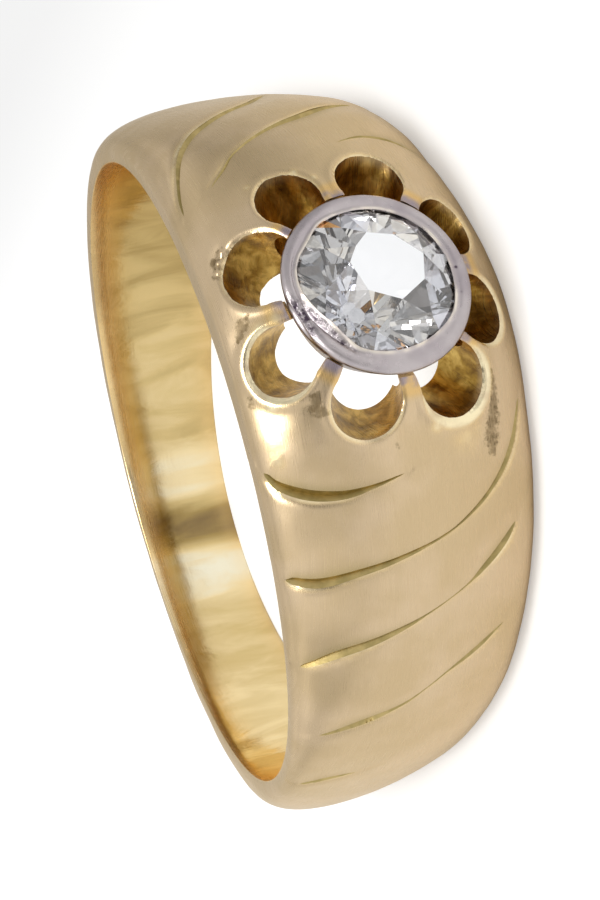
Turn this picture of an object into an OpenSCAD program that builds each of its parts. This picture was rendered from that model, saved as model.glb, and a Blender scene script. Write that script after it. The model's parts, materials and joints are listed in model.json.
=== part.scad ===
// Old gold ring: a tapering band whose head is pierced with eight drilled lobes round a single old-cut diamond.
// The diamond sits in a conical collet of white metal, and the ribs between the lobes carry the collet.
// The modules work in the ring's own frame: origin at the middle of the finger hole, X out through the stone,
// Z along the finger hole. lying() then turns the ring about Y so that its lower side rim lies flat.

/* [Band] */
// Diameter of the finger hole
finger_d = 19; // [17:0.5:21]
// Width across the head, over both side rims
head_w = 8.1; // [7.8:0.1:9]
// Width across the back of the shank
back_w = 3.2; // [2.4:0.1:4.4]
// Wall in the middle of the head
head_t = 2.8; // [2.6:0.1:3.1]
// Wall in the middle of the back
back_t = 1.6; // [1.3:0.1:2]
// Flat of a side rim along the shank
edge_t = 0.42; // [0.34:0.02:0.6]
// Flat of a side rim beside the head
head_edge_t = 1.1; // [0.9:0.05:1.2]

/* [Piercing] */
// Radius of the drill that opened the lobes
lobe_r = 0.93; // [0.8:0.01:0.95]
// Distance of a lobe from the stone's axis, at the drilling height
lobe_out = 2.85; // [2.8:0.05:3]
// Lean of the drill towards the stone's axis, in degrees
lobe_lean = 42; // [38:1:44]
// Angle by which each side of a lobe closes in towards the stone
lobe_taper = 18; // [14:1:24]

/* [Collet and stone] */
// Outside diameter of the collet at its lip
collet_d = 5.14; // [5:0.02:5.2]
// Radius of the rolled lip
lip_r = 0.21; // [0.18:0.01:0.24]
// Taper of the collet's wall, in degrees from its axis
collet_taper = 26; // [24:1:30]
// Diameter of the stone over its girdle
stone_d = 4.54; // [4.4:0.02:4.6]
// Diameter of the stone's table, as a share of the girdle
table_share = 0.46; // [0.4:0.02:0.56]
// Height of the crown over the girdle
crown_h = 0.85; // [0.7:0.05:1]
// Depth of the pavilion under the girdle
pavilion_h = 1.85; // [1.6:0.05:1.9]

/* [Hidden] */

finger_r = finger_d / 2;
gap = 0.02;

// Columns of wall_rows: angle from the stone, wall at mid width, flat of the side rim.
// The old ring is worn a little thinner on its negative side.
ANGLE = 0;
WALL = 1;
EDGE = 2;
wall_rows = [
    [-180, back_t, edge_t],
    [-130, back_t + 0.3, edge_t],
    [-90, 1.05, edge_t],
    [-55, 1.6, edge_t],
    [-25, 2.1, 0.65],
    [0, head_t, head_edge_t],
    [25, 2.55, 0.65],
    [55, 1.5, edge_t],
    [90, 1.75, edge_t],
    [130, back_t + 0.45, edge_t]
];

// The same rows with a turn's neighbours at either end, so that the curve through them closes smoothly
function turned(row, by) = [row[ANGLE] + by, row[WALL], row[EDGE]];
wall_curve = concat(
    [turned(wall_rows[len(wall_rows) - 1], -360)],
    wall_rows,
    [turned(wall_rows[0], 360), turned(wall_rows[1], 360)]
);

// The side rims are two planes, z = rim_mid + rim_slope * x and its mirror image, so the ring can lie on either
rim_slope = (head_w - back_w) / 2 / (2 * finger_r + head_edge_t + edge_t);
rim_mid = head_w / 2 - rim_slope * (finger_r + head_edge_t);
rim_tilt = atan(rim_slope);

// Exponents of the band's rounded outside: flat-topped with full shoulders on the shank, more arched at the head
shank_arch = 2.2;
shank_shoulder = 2.2;
head_arch = 2.4;
head_shoulder = 1.15;
head_span = 25;

round_steps = 96;
cross_steps = 16;

// Columns of lobe_rows: angle about the stone's axis, further out than lobe_out, wider than lobe_r,
// further over than lobe_lean, and sideways lean, because the lobes were drilled by hand
TURN = 0;
OUT = 1;
WIDER = 2;
MORE_LEAN = 3;
SIDE_LEAN = 4;
lobe_rows = [
    [26, 0, -0.08, 1, -10],
    [66, 0, 0.1, -1, -16],
    [115, 0.35, -0.02, 6, -4],
    [159, 0.2, 0, 1, 11],
    [206, 0.1, 0.04, -4, 20],
    [249, -0.2, 0.01, -2, 12],
    [298, -0.25, -0.04, 3, 3],
    [344, -0.1, 0.01, -4, 3]
];
lobe_x = finger_r + 1.8;
lobe_in = 3.8;
lobe_reach = 9;
lobe_throat = 1.4;
throat_inset = 0.03;

// Heights along the stone's axis
girdle_x = finger_r + 2.3;
girdle_t = 0.08;
lip_x = girdle_x + girdle_t;
table_x = lip_x + crown_h;
culet_x = girdle_x - pavilion_h;
collet_foot_x = finger_r + 0.65;

collet_r = collet_d / 2;
collet_foot_r = collet_r - (lip_x - collet_foot_x) * tan(collet_taper);
collet_wall = 0.36;
girdle_r = stone_d / 2;
culet_r = 0.22;

// Shares that place the small facets of the stone
star_share = 0.5;
lower_share = 0.72;

function slope_at(rows, i, c) = (rows[i + 1][c] - rows[i - 1][c]) / (rows[i + 1][ANGLE] - rows[i - 1][ANGLE]);

// Smooth curve through column c of the rows, with the slope at each row taken from its neighbours
function along(rows, a, c, i = 1) =
    a > rows[i + 1][ANGLE] && i < len(rows) - 3
        ? along(rows, a, c, i + 1)
        : let (
            span = rows[i + 1][ANGLE] - rows[i][ANGLE],
            s = (a - rows[i][ANGLE]) / span
        )
        (1 + 2 * s) * pow(1 - s, 2) * rows[i][c]
            + s * pow(1 - s, 2) * span * slope_at(rows, i, c)
            + s * s * (3 - 2 * s) * rows[i + 1][c]
            - s * s * (1 - s) * span * slope_at(rows, i + 1, c);

// How much of the head's section is blended in at an angle from the stone
function head_share(a) = exp(-pow(a / head_span, 2));
function mix(a, shank, head) = shank + (head - shank) * head_share(a);

// One point of the band's outside; u runs from -1 on one side rim to 1 on the other.
// The half width is the smaller of those at the rim and at the point, so no point passes the rims' planes.
function outside_point(a, u) =
    let (
        rim_r = finger_r + along(wall_curve, a, EDGE),
        top_r = finger_r + along(wall_curve, a, WALL),
        arch = max(0, 1 - pow(abs(u), mix(a, shank_arch, head_arch))),
        r = rim_r + (top_r - rim_r) * pow(arch, 1 / mix(a, shank_shoulder, head_shoulder)),
        half_w = rim_mid + rim_slope * min(rim_r * cos(a), r * cos(a))
    )
    [r * cos(a), r * sin(a), u * half_w];

// A solid disc with the band's outside and two flat sides, before the finger hole is bored
module band_blank() {
    across = cross_steps + 1;
    points = [
        for (i = [0 : round_steps - 1], j = [0 : cross_steps])
            outside_point(-180 + 360 * i / round_steps, sin(-90 + 180 * j / cross_steps))
    ];
    function at(i, j) = (i % round_steps) * across + j;
    skin = [
        for (i = [0 : round_steps - 1], j = [0 : cross_steps - 1], half = [0, 1])
            half == 0
                ? [at(i, j), at(i, j + 1), at(i + 1, j)]
                : [at(i, j + 1), at(i + 1, j + 1), at(i + 1, j)]
    ];
    low_side = [for (i = [0 : round_steps - 1]) at(i, 0)];
    high_side = [for (i = [round_steps - 1 : -1 : 0]) at(i, cross_steps)];
    polyhedron(points = points, faces = concat(skin, [low_side, high_side]), convexity = 4);
}

// Outline of a lobe's sawn throat, which runs straight towards the stone from just inside the drilled hole's flanks
function throat_outline(r) =
    let (
        flank_w = (1 - throat_inset) * r * cos(lobe_taper),
        flank_y = (1 - throat_inset) * r * sin(lobe_taper),
        end_w = flank_w - (lobe_throat - flank_y) * tan(lobe_taper)
    )
    [[flank_w, -flank_y], [end_w, -lobe_throat], [-end_w, -lobe_throat], [-flank_w, -flank_y]];

// One lobe, drilled at a lean under the stone and then sawn open towards it
module lobe(row) {
    r = lobe_r + row[WIDER];
    rotate([row[TURN], 0, 0])
        translate([lobe_x, lobe_out + row[OUT], 0])
            rotate([0, row[SIDE_LEAN], 0])
                rotate([0, 0, lobe_lean + row[MORE_LEAN]])
                    translate([-lobe_in, 0, 0])
                        rotate([0, 90, 0]) {
                            cylinder(r = r, h = lobe_reach, $fn = 64);
                            linear_extrude(lobe_reach)
                                polygon(throat_outline(r));
                        }
}

// The opening that the collet is let into: a round recess for the lip over a taper for the wall
module collet_seat() {
    seat_r = collet_r + gap;
    recess_x = lip_x - lip_r - gap;
    taper_h = lip_x - finger_r + 0.5;
    translate([recess_x, 0, 0])
        rotate([0, 90, 0])
            cylinder(r = seat_r, h = 3, $fn = 96);
    translate([lip_x - taper_h, 0, 0])
        rotate([0, 90, 0])
            cylinder(r1 = seat_r - taper_h * tan(collet_taper), r2 = seat_r, h = taper_h, $fn = 96);
}

// Outline of the stone in the plane of radius and height, grown by a clearance
function stone_outline(c) = [
    [0, culet_x - c],
    [culet_r + c, culet_x - c],
    [girdle_r + c, girdle_x - c],
    [girdle_r + c, lip_x + c],
    [table_share * girdle_r + c, table_x + c],
    [0, table_x + c]
];

// Section of the collet's tapered wall
module collet_wall_section() {
    polygon([
        [collet_r, lip_x],
        [collet_foot_r, collet_foot_x],
        [collet_foot_r - collet_wall, collet_foot_x],
        [collet_r - 2 * lip_r, lip_x]
    ]);
}

// Section of the rolled lip that is rubbed over the stone's edge
module collet_lip_section() {
    translate([collet_r - lip_r, lip_x])
        circle(r = lip_r, $fn = 48);
}

function ring_point(r, a, x) = [x, r * cos(a), r * sin(a)];

// Old mine cut: table, eight star, eight kite and sixteen girdle facets above, and their like below to an open culet
module cut_stone() {
    table_r = table_share * girdle_r;
    half_turn = 22.5;
    star_r = table_r + star_share * (girdle_r - table_r);
    star_x = lip_x + crown_h * (girdle_r - star_r * cos(half_turn)) / (girdle_r - table_r);
    lower_r = girdle_r - lower_share * (girdle_r - culet_r);
    lower_x = girdle_x - pavilion_h * (girdle_r - lower_r * cos(half_turn)) / (girdle_r - culet_r);
    points = concat(
        [for (k = [0 : 7]) ring_point(table_r, 45 * k, table_x)],
        [for (k = [0 : 7]) ring_point(star_r, 45 * k + half_turn, star_x)],
        [for (k = [0 : 15]) ring_point(girdle_r, half_turn * k, lip_x)],
        [for (k = [0 : 15]) ring_point(girdle_r, half_turn * k, girdle_x)],
        [for (k = [0 : 7]) ring_point(lower_r, 45 * k + half_turn, lower_x)],
        [for (k = [0 : 7]) ring_point(culet_r, 45 * k, culet_x)]
    );
    function table_i(k) = k % 8;
    function star_i(k) = 8 + k % 8;
    function upper_i(k) = 16 + k % 16;
    function under_i(k) = 32 + k % 16;
    function lower_i(k) = 48 + k % 8;
    function culet_i(k) = 56 + k % 8;
    faces = concat(
        [[for (k = [7 : -1 : 0]) table_i(k)]],
        [for (k = [0 : 7]) [table_i(k), table_i(k + 1), star_i(k)]],
        [for (k = [0 : 7]) [table_i(k), star_i(k), upper_i(2 * k), star_i(k + 7)]],
        [for (k = [0 : 7]) [star_i(k), upper_i(2 * k + 1), upper_i(2 * k)]],
        [for (k = [0 : 7]) [star_i(k), upper_i(2 * k + 2), upper_i(2 * k + 1)]],
        [for (k = [0 : 15]) [upper_i(k), upper_i(k + 1), under_i(k + 1), under_i(k)]],
        [for (k = [0 : 7]) [lower_i(k), under_i(2 * k), under_i(2 * k + 1)]],
        [for (k = [0 : 7]) [lower_i(k), under_i(2 * k + 1), under_i(2 * k + 2)]],
        [for (k = [0 : 7]) [culet_i(k), lower_i(k + 7), under_i(2 * k), lower_i(k)]],
        [for (k = [0 : 7]) [culet_i(k + 1), culet_i(k), lower_i(k)]],
        [[for (k = [0 : 7]) culet_i(k)]]
    );
    polyhedron(points = points, faces = faces, convexity = 2);
}

// Turns the ring from its own frame to where it lies on its lower side rim
module lying() {
    rotate([0, -rim_tilt, 0])
        children();
}

module band() {
    color("goldenrod")
        lying()
            difference() {
                band_blank();
                translate([0, 0, -head_w])
                    cylinder(r = finger_r, h = 2 * head_w, $fn = 180);
                collet_seat();
                for (row = lobe_rows)
                    lobe(row);
            }
}

module collet() {
    color("silver")
        lying()
            rotate([0, 90, 0])
                difference() {
                    union() {
                        rotate_extrude($fn = 96)
                            collet_wall_section();
                        rotate_extrude($fn = 96)
                            collet_lip_section();
                    }
                    rotate_extrude($fn = 96)
                        polygon(stone_outline(gap));
                }
}

module stone() {
    color("aliceblue")
        lying()
            cut_stone();
}

band();
collet();
stone();
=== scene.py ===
"""Looks of an old gold band ring with one diamond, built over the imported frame.

Shapes are worked out in millimetres in the ring's own frame: the origin is the middle of the finger
hole, X runs out through the stone and Z along the finger hole. BandShape.settle then turns them to
where the ring lies on its lower side rim, and scales them to metres.
"""

import json
import logging
import math
from dataclasses import dataclass
from enum import Enum
from typing import Any, NamedTuple

import bmesh
import bpy
import numpy as np
from mathutils import Matrix, Vector, noise

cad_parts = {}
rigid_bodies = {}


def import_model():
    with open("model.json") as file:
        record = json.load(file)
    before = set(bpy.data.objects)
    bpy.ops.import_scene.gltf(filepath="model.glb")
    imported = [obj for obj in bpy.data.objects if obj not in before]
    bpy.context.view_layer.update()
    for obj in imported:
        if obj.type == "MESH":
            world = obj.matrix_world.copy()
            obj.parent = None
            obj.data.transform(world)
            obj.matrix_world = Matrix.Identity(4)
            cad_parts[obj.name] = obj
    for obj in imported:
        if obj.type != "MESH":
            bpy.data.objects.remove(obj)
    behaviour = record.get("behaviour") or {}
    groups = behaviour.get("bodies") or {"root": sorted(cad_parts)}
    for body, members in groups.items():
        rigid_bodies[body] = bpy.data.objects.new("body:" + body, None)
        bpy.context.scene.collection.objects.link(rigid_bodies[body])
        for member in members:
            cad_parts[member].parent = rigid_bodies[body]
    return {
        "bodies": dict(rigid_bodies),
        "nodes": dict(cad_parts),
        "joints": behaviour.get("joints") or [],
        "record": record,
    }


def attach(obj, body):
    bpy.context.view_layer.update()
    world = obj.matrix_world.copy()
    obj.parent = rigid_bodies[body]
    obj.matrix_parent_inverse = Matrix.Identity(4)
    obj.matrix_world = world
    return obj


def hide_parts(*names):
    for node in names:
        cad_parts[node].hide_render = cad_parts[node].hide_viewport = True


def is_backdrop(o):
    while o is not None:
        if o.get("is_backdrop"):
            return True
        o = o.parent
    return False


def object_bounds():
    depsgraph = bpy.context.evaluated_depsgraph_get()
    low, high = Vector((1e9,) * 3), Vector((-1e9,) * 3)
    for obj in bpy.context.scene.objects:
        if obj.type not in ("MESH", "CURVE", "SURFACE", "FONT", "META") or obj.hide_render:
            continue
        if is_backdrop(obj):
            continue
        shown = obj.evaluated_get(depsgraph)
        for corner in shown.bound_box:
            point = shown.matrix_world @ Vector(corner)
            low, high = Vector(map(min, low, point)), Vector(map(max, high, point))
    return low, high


Triple = tuple[float, float, float]
Colour = tuple[float, float, float]
Stops = tuple[tuple[float, Colour], ...]
# Lines on the band. Each point has its angle round the band, its place across it and the line's width.
Lines = tuple[tuple[Triple, ...], ...]
Faces = list[tuple[int, ...]]
Socket = bpy.types.NodeSocket
Node = bpy.types.Node
Material = bpy.types.Material
Mesh = bpy.types.Mesh
Thing = bpy.types.Object
Array = np.ndarray

LOG = logging.getLogger("diamond_band")
# Metres in a millimetre.
MM = 0.001
# Keeps the part of a vector that points straight away from the finger hole's axis.
RADIAL = np.array((1.0, 1.0, 0.0))
# The sockets that a Mix node uses for colours: its share, first and second colour, and result.
MIX_SHARE, MIX_FIRST, MIX_SECOND, MIX_RESULT = 0, 6, 7, 2


class Side(Enum):
    """What a face of the cut band is: the skin, or the wall that one of the cutters left."""

    PLAIN = 0
    LOBE = 1
    SEAT = 2
    GRAVED = 3


class LobeRow(NamedTuple):
    """One drilled lobe: place round the stone, drill, how its mouth is worn, and how strong the painted
    highlight on its lip is.
    """

    turn: float
    out: float
    radius: float
    lean: float
    side: float
    lip: float
    rub_and_highlight: float
    chips: float


class Bead(NamedTuple):
    """One bead of metal on the band: angle round it, place across it, and its width."""

    angle: float
    across: float
    width: float


class BandSpot(NamedTuple):
    """A spot on the band, used for dirty patches and for painted highlights: angle round it, place across it,
    radius and strength.
    """

    angle: float
    across: float
    radius: float
    strength: float


class LipRow(NamedTuple):
    """The collet's lip at one turn: inner edge, dent of the outer edge, lift, and groove behind the ridge."""

    turn: float
    inner_r: float
    knocked_in: float
    lift: float
    groove: float


class Fire(NamedTuple):
    """One facet with a painted flash of fire: its number, 1 for orange or 0.5 for blue, and how much it
    shines.
    """

    facet: int
    warmth: float
    shine: float


class TableCorner(NamedTuple):
    """One corner of the stone's table, and the painted brightness of the star facet and of the outer facets
    after it, low where dark reflection is painted.
    """

    turn: float
    out: float
    star: float
    rim: float


class Card(NamedTuple):
    """A grey card in the room: the way to it, its inner and outer edge in degrees, and the light left."""

    toward: Triple
    inner: float
    outer: float
    left: float


class Beside(NamedTuple):
    """How points lie to a line: which are near, how far off and to its left, its width and left flank."""

    near: Array
    gap: Array
    left: Array
    width: Array
    flank: Array


class Bench:
    """Adds nodes to one tree and joins them.

    Args:
        tree: The node tree to work on.
    """

    def __init__(self, tree: bpy.types.NodeTree) -> None:
        """Keep the tree."""
        self.tree = tree

    def fill(self, node: Node, inputs: dict[Any, Any]) -> None:
        """Link or set a node's inputs.

        Args:
            node: The node.
            inputs: For each input, by name or number, a value or the output that feeds it.
        """
        for key, value in inputs.items():
            if isinstance(value, Socket):
                self.tree.links.new(value, node.inputs[key])
            else:
                node.inputs[key].default_value = value

    def add(self, kind: str, inputs: dict[Any, Any] | None = None, **settings: Any) -> Node:
        """Add one node.

        Args:
            kind: The node's type.
            inputs: As for fill.
            settings: Properties of the node, which are set before its inputs.

        Returns:
            The new node.
        """
        node = self.tree.nodes.new(kind)
        for name, value in settings.items():
            setattr(node, name, value)
        self.fill(node, inputs or {})
        return node

    def out(self, kind: str, inputs: dict[Any, Any] | None = None, **settings: Any) -> Socket:
        """Add one node as add does, and return its first output."""
        return self.add(kind, inputs, **settings).outputs[0]

    def math(self, operation: str, first: Any, second: Any, clamp: bool = False) -> Socket:
        """Return the result of one sum on two numbers."""
        inputs = {0: first, 1: second}
        return self.out("ShaderNodeMath", inputs, operation=operation, use_clamp=clamp)

    def times(self, first: Any, second: Any, clamp: bool = False) -> Socket:
        """Multiply two numbers."""
        return self.math("MULTIPLY", first, second, clamp)

    def plus(self, first: Any, second: Any, clamp: bool = False) -> Socket:
        """Add two numbers."""
        return self.math("ADD", first, second, clamp)

    def minus(self, first: Any, second: Any) -> Socket:
        """Take the second number from the first."""
        return self.math("SUBTRACT", first, second)

    def vector(self, operation: str, first: Any, second: Any) -> Socket:
        """Return the vector that one sum on two vectors gives."""
        return self.out("ShaderNodeVectorMath", {0: first, 1: second}, operation=operation)

    def span(self, value: Any, low: float, high: float, to_low: float = 0.0, to_high: float = 1.0) -> Socket:
        """Map a number smoothly from the range low to high, to the range to_low to to_high."""
        inputs = {"Value": value, "From Min": low, "From Max": high, "To Min": to_low, "To Max": to_high}
        return self.add("ShaderNodeMapRange", inputs, interpolation_type="SMOOTHSTEP").outputs["Result"]

    def grain(self, place: Any, scale: float, detail: float, rough: float, twist: float = 0.0) -> Socket:
        """Return a noise value, mostly from 0.3 to 0.7, at a scale in cycles for each unit of the place."""
        inputs = {"Vector": place, "Scale": scale, "Detail": detail, "Roughness": rough, "Distortion": twist}
        return self.add("ShaderNodeTexNoise", inputs).outputs["Fac"]

    def stretch(self, place: Any, by: Triple, turn: float = 0.0) -> Socket:
        """Scale a place along its axes, after a turn about its third axis in radians."""
        inputs = {"Vector": place, "Scale": by, "Rotation": (0.0, 0.0, turn)}
        return self.add("ShaderNodeMapping", inputs).outputs["Vector"]

    def blend(self, share: Any, first: Any, second: Any) -> Socket:
        """Blend two colours by a share, each a socket or three linear values."""
        first, second = (c if isinstance(c, Socket) else (*c, 1.0) for c in (first, second))
        inputs = {MIX_SHARE: share, MIX_FIRST: first, MIX_SECOND: second}
        return self.add("ShaderNodeMix", inputs, data_type="RGBA").outputs[MIX_RESULT]

    def read(self, name: str) -> Node:
        """Return a node that reads one attribute of the mesh."""
        return self.add("ShaderNodeAttribute", attribute_name=name)

    def ramp(self, value: Any, stops: Stops) -> Socket:
        """Turn a number into a colour.

        Args:
            value: The number's socket.
            stops: Place and linear colour of each stop.

        Returns:
            The colour's socket.
        """
        node = self.add("ShaderNodeValToRGB", {"Fac": value})
        marks = node.color_ramp.elements
        while len(marks) < len(stops):
            marks.new(1.0)
        for mark, (place, colour) in zip(marks, stops):
            mark.position = place
            mark.color = (*colour, 1.0)
        return node.outputs["Color"]


def new_material(name: str) -> tuple[Material, Bench, Node]:
    """Make an empty material with one shader.

    Args:
        name: The material's name.

    Returns:
        The material, a bench for its tree, and its main shader.
    """
    material = bpy.data.materials.new(name)
    material.use_nodes = True
    material.node_tree.nodes.clear()
    bench = Bench(material.node_tree)
    shader = bench.add("ShaderNodeBsdfPrincipled")
    bench.add("ShaderNodeOutputMaterial", {"Surface": shader.outputs["BSDF"]})
    return material, bench, shader


def new_object(name: str, points: Array, faces: Faces, edges: list[tuple[int, int]] | None = None) -> Thing:
    """Make a mesh object at the origin.

    Args:
        name: The object's name.
        points: One row for each vertex.
        faces: Vertex numbers of each face.
        edges: Vertex numbers of each loose edge.

    Returns:
        The object, linked to the scene.
    """
    mesh = bpy.data.meshes.new(name)
    mesh.from_pydata([tuple(map(float, row)) for row in points], edges or [], faces)
    mesh.update()
    thing = bpy.data.objects.new(name, mesh)
    bpy.context.scene.collection.objects.link(thing)
    return thing


def ring_faces(rings: int, count: int, joined: bool = False) -> Faces:
    """Return the faces between rings of points.

    Args:
        rings: Number of rings.
        count: Number of points on each ring.
        joined: Whether the last ring joins the first. If not, the two ends are capped.

    Returns:
        Vertex numbers of each face.
    """
    faces: Faces = []
    for k in range(rings if joined else rings - 1):
        here, there = k * count, (k + 1) % rings * count
        for i in range(count):
            after = (i + 1) % count
            faces.append((here + i, here + after, there + after, there + i))
    if joined:
        return faces
    return [*faces, tuple(reversed(range(count))), tuple(range((rings - 1) * count, rings * count))]


def put_values(mesh: Mesh, name: str, values: Array, domain: str = "POINT") -> None:
    """Store one number, or one vector, for each point or corner of a mesh.

    Args:
        mesh: The mesh.
        name: The attribute.
        values: Its values, in rows of three for a vector.
        domain: POINT or CORNER.
    """
    kind, field = ("FLOAT_VECTOR", "vector") if values.ndim == 2 else ("FLOAT", "value")
    layer = mesh.attributes.new(name, kind, domain)
    layer.data.foreach_set(field, np.ascontiguousarray(values, dtype=np.float32).ravel())


def read_values(items: Any, name: str, width: int = 1, kind: type = float) -> Array:
    """Read one property of all the points, corners, edges or faces of a mesh.

    Args:
        items: The mesh's collection of them.
        name: The property.
        width: How many numbers it has for each.
        kind: The numbers' type.

    Returns:
        One number, or one row of numbers, for each.
    """
    values = np.empty(len(items) * width, dtype=kind)
    items.foreach_get(name, values)
    return values if width == 1 else values.reshape(-1, width)


def point_outwards(thing: Thing) -> None:
    """Turn a closed mesh's faces outwards, by the sign of its volume."""
    mesh = thing.data
    mesh.calc_loop_triangles()
    corners = read_values(mesh.loop_triangles, "vertices", 3, np.int32)
    tri = read_values(mesh.vertices, "co", 3)[corners]
    if np.einsum("ij,ij->i", tri[:, 0], np.cross(tri[:, 1], tri[:, 2])).sum() < 0:
        mesh.flip_normals()


def triangulate(mesh: Mesh, shortest: float = 1e-5) -> None:
    """Triangulate a cut mesh so that no slivers lie back to back on the same three points.

    Args:
        mesh: A closed mesh, as a boolean leaves it.
        shortest: Length under which an edge is closed up.
    """
    work = bmesh.new()
    work.from_mesh(mesh)
    bmesh.ops.triangulate(work, faces=work.faces[:])
    bmesh.ops.dissolve_degenerate(work, dist=shortest, edges=work.edges[:])
    work.to_mesh(mesh)
    work.free()


def smooth_step(value: Array, low: Any, high: Any) -> Array:
    """Rise smoothly from 0 at low to 1 at high."""
    share = np.clip((value - low) / (high - low), 0.0, 1.0)
    return share * share * (3.0 - 2.0 * share)


def bell(value: Array, spread: Any) -> Array:
    """Fall smoothly from 1 at 0, to a third where the value is the spread."""
    return np.exp(-((value / spread) ** 2))


def lengths_along(points: Array) -> Array:
    """Return how far along a row of points each one lies."""
    return np.concatenate([[0.0], np.cumsum(np.linalg.norm(np.diff(points, axis=0), axis=1))])


def around(r: float, turn: float, x: float) -> Triple:
    """Return a point by its distance from the stone's axis, its turn in degrees and its height."""
    return (x, r * math.cos(math.radians(turn)), r * math.sin(math.radians(turn)))


def curve_through(rows: Array, step: float) -> Array:
    """Lay a smooth curve through rows of numbers, with the rows about a step apart.

    Args:
        rows: One row for each point that the curve passes; the first three columns are its place.
        step: Distance between the results.

    Returns:
        The rows along the curve.
    """
    ends = np.vstack([2 * rows[0] - rows[1], rows, 2 * rows[-1] - rows[-2]])
    found: list[Array] = []
    for i in range(1, len(ends) - 2):
        before, start, end, after = ends[i - 1 : i + 3]
        count = max(2, int(np.linalg.norm((end - start)[:3]) / step))
        for s in np.linspace(0.0, 1.0, count, endpoint=False):
            first = (end - before) * s
            second = (2 * before - 5 * start + 4 * end - after) * s**2
            third = (3 * start - before - 3 * end + after) * s**3
            found.append(0.5 * (2 * start + first + second + third))
    found.append(rows[-1])
    return np.array(found)


@dataclass(frozen=True)
class BandShape:
    """Sizes of the band and the curves of its outside, as the construction has them."""

    finger_r: float = 9.5
    head_w: float = 8.1
    back_w: float = 3.2
    head_edge: float = 1.1
    shank_edge: float = 0.42
    shank_arch: float = 2.2
    shank_shoulder: float = 2.2
    head_arch: float = 2.4
    head_shoulder: float = 1.15
    head_span: float = 25.0
    widest_share: float = 0.985
    # Angle from the stone, wall at mid width, and flat of the side rim.
    walls: tuple[Triple, ...] = (
        (-180, 1.6, 0.42), (-130, 1.9, 0.42), (-90, 1.05, 0.42), (-55, 1.6, 0.42),
        (-25, 2.1, 0.65), (0, 2.8, 1.1), (25, 2.55, 0.65), (55, 1.5, 0.42),
        (90, 1.75, 0.42), (130, 2.05, 0.42),
    )

    @property
    def rim_slope(self) -> float:
        """Slope of a side rim's plane towards the stone."""
        return (self.head_w - self.back_w) / 2 / (2 * self.finger_r + self.head_edge + self.shank_edge)

    @property
    def rim_mid(self) -> float:
        """Half width of the band beside the finger hole's axis."""
        return self.head_w / 2 - self.rim_slope * (self.finger_r + self.head_edge)

    def settle(self, points: Array) -> Array:
        """Turn points from the ring's own frame to where it lies on its side rim, in metres.

        Args:
            points: Points in the ring's own frame.

        Returns:
            The same points in the part's frame.
        """
        tilt = math.atan(self.rim_slope)
        x, y, z = points[..., 0], points[..., 1], points[..., 2]
        turned = [math.cos(tilt) * x - math.sin(tilt) * z, y, math.sin(tilt) * x + math.cos(tilt) * z]
        return np.stack(turned, axis=-1) * MM

    def along(self, angle: Array, column: int) -> Array:
        """Read the smooth curve through one column of the wall table.

        Args:
            angle: Angles from the stone, in degrees.
            column: Number of the column.

        Returns:
            The column's value at each angle.
        """
        rows = np.array(self.walls, dtype=float)
        turn = np.array([360.0, 0.0, 0.0])
        rows = np.vstack([rows[-1] - turn, rows, rows[0] + turn, rows[1] + turn])
        angle = (np.asarray(angle, dtype=float) + 180.0) % 360.0 - 180.0
        i = np.clip(np.searchsorted(rows[:, 0], angle, side="right") - 1, 1, len(rows) - 3)
        span = rows[i + 1, 0] - rows[i, 0]
        s = (angle - rows[i, 0]) / span
        here = (rows[i + 1, column] - rows[i - 1, column]) / (rows[i + 1, 0] - rows[i - 1, 0])
        there = (rows[i + 2, column] - rows[i, column]) / (rows[i + 2, 0] - rows[i, 0])
        first = (1 + 2 * s) * (1 - s) ** 2 * rows[i, column] + s * (1 - s) ** 2 * span * here
        return first + s * s * (3 - 2 * s) * rows[i + 1, column] - s * s * (1 - s) * span * there

    def outside_r(self, angle: Array, u: Array) -> Array:
        """Return the radius of the outside at an angle and a share u of the width, from -1 to 1."""
        head = bell((np.asarray(angle, dtype=float) + 180.0) % 360.0 - 180.0, self.head_span)
        arch = self.shank_arch + (self.head_arch - self.shank_arch) * head
        shoulder = self.shank_shoulder + (self.head_shoulder - self.shank_shoulder) * head
        rim_r = self.finger_r + self.along(angle, 2)
        top_r = self.finger_r + self.along(angle, 1)
        share = np.maximum(0.0, 1.0 - np.abs(u) ** arch) ** (1.0 / shoulder)
        return rim_r + (top_r - rim_r) * share

    def half_width(self, angle: Array, r: Array) -> Array:
        """Return the height of the upper side rim's plane at an angle and a radius."""
        return self.rim_mid + self.rim_slope * r * np.cos(np.radians(angle))

    def outside(self, angle: Array, u: Array) -> Array:
        """Return points of the outside in the ring's own frame.

        Args:
            angle: Angles from the stone, in degrees.
            u: Shares of the width, from -1 to 1.

        Returns:
            One row for each point.
        """
        r = self.outside_r(angle, u)
        rim_r = self.finger_r + self.along(angle, 2)
        half = np.minimum(self.half_width(angle, r), self.half_width(angle, rim_r))
        turn = np.radians(angle)
        return np.stack([r * np.cos(turn), r * np.sin(turn), u * half], axis=-1)

    def spot(self, angle: float, across: float, at_r: float) -> Array:
        """Return the outside's point at an angle and a distance across, with the width read at a radius."""
        share = across / float(self.half_width(np.array(angle), np.array(at_r)))
        return self.outside(np.array(angle), np.array(np.clip(share, -self.widest_share, self.widest_share)))

    def depth(self, points: Array) -> tuple[Array, Array, Array]:
        """Tell how deep points lie under the outside.

        Args:
            points: Points in the ring's own frame.

        Returns:
            Depth, angle in degrees and share of the width for each point.
        """
        r = np.hypot(points[:, 0], points[:, 1])
        angle = np.degrees(np.arctan2(points[:, 1], points[:, 0]))
        u = np.clip(points[:, 2] / self.half_width(angle, r), -1.0, 1.0)
        return self.outside_r(angle, u) - r, angle, u


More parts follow.
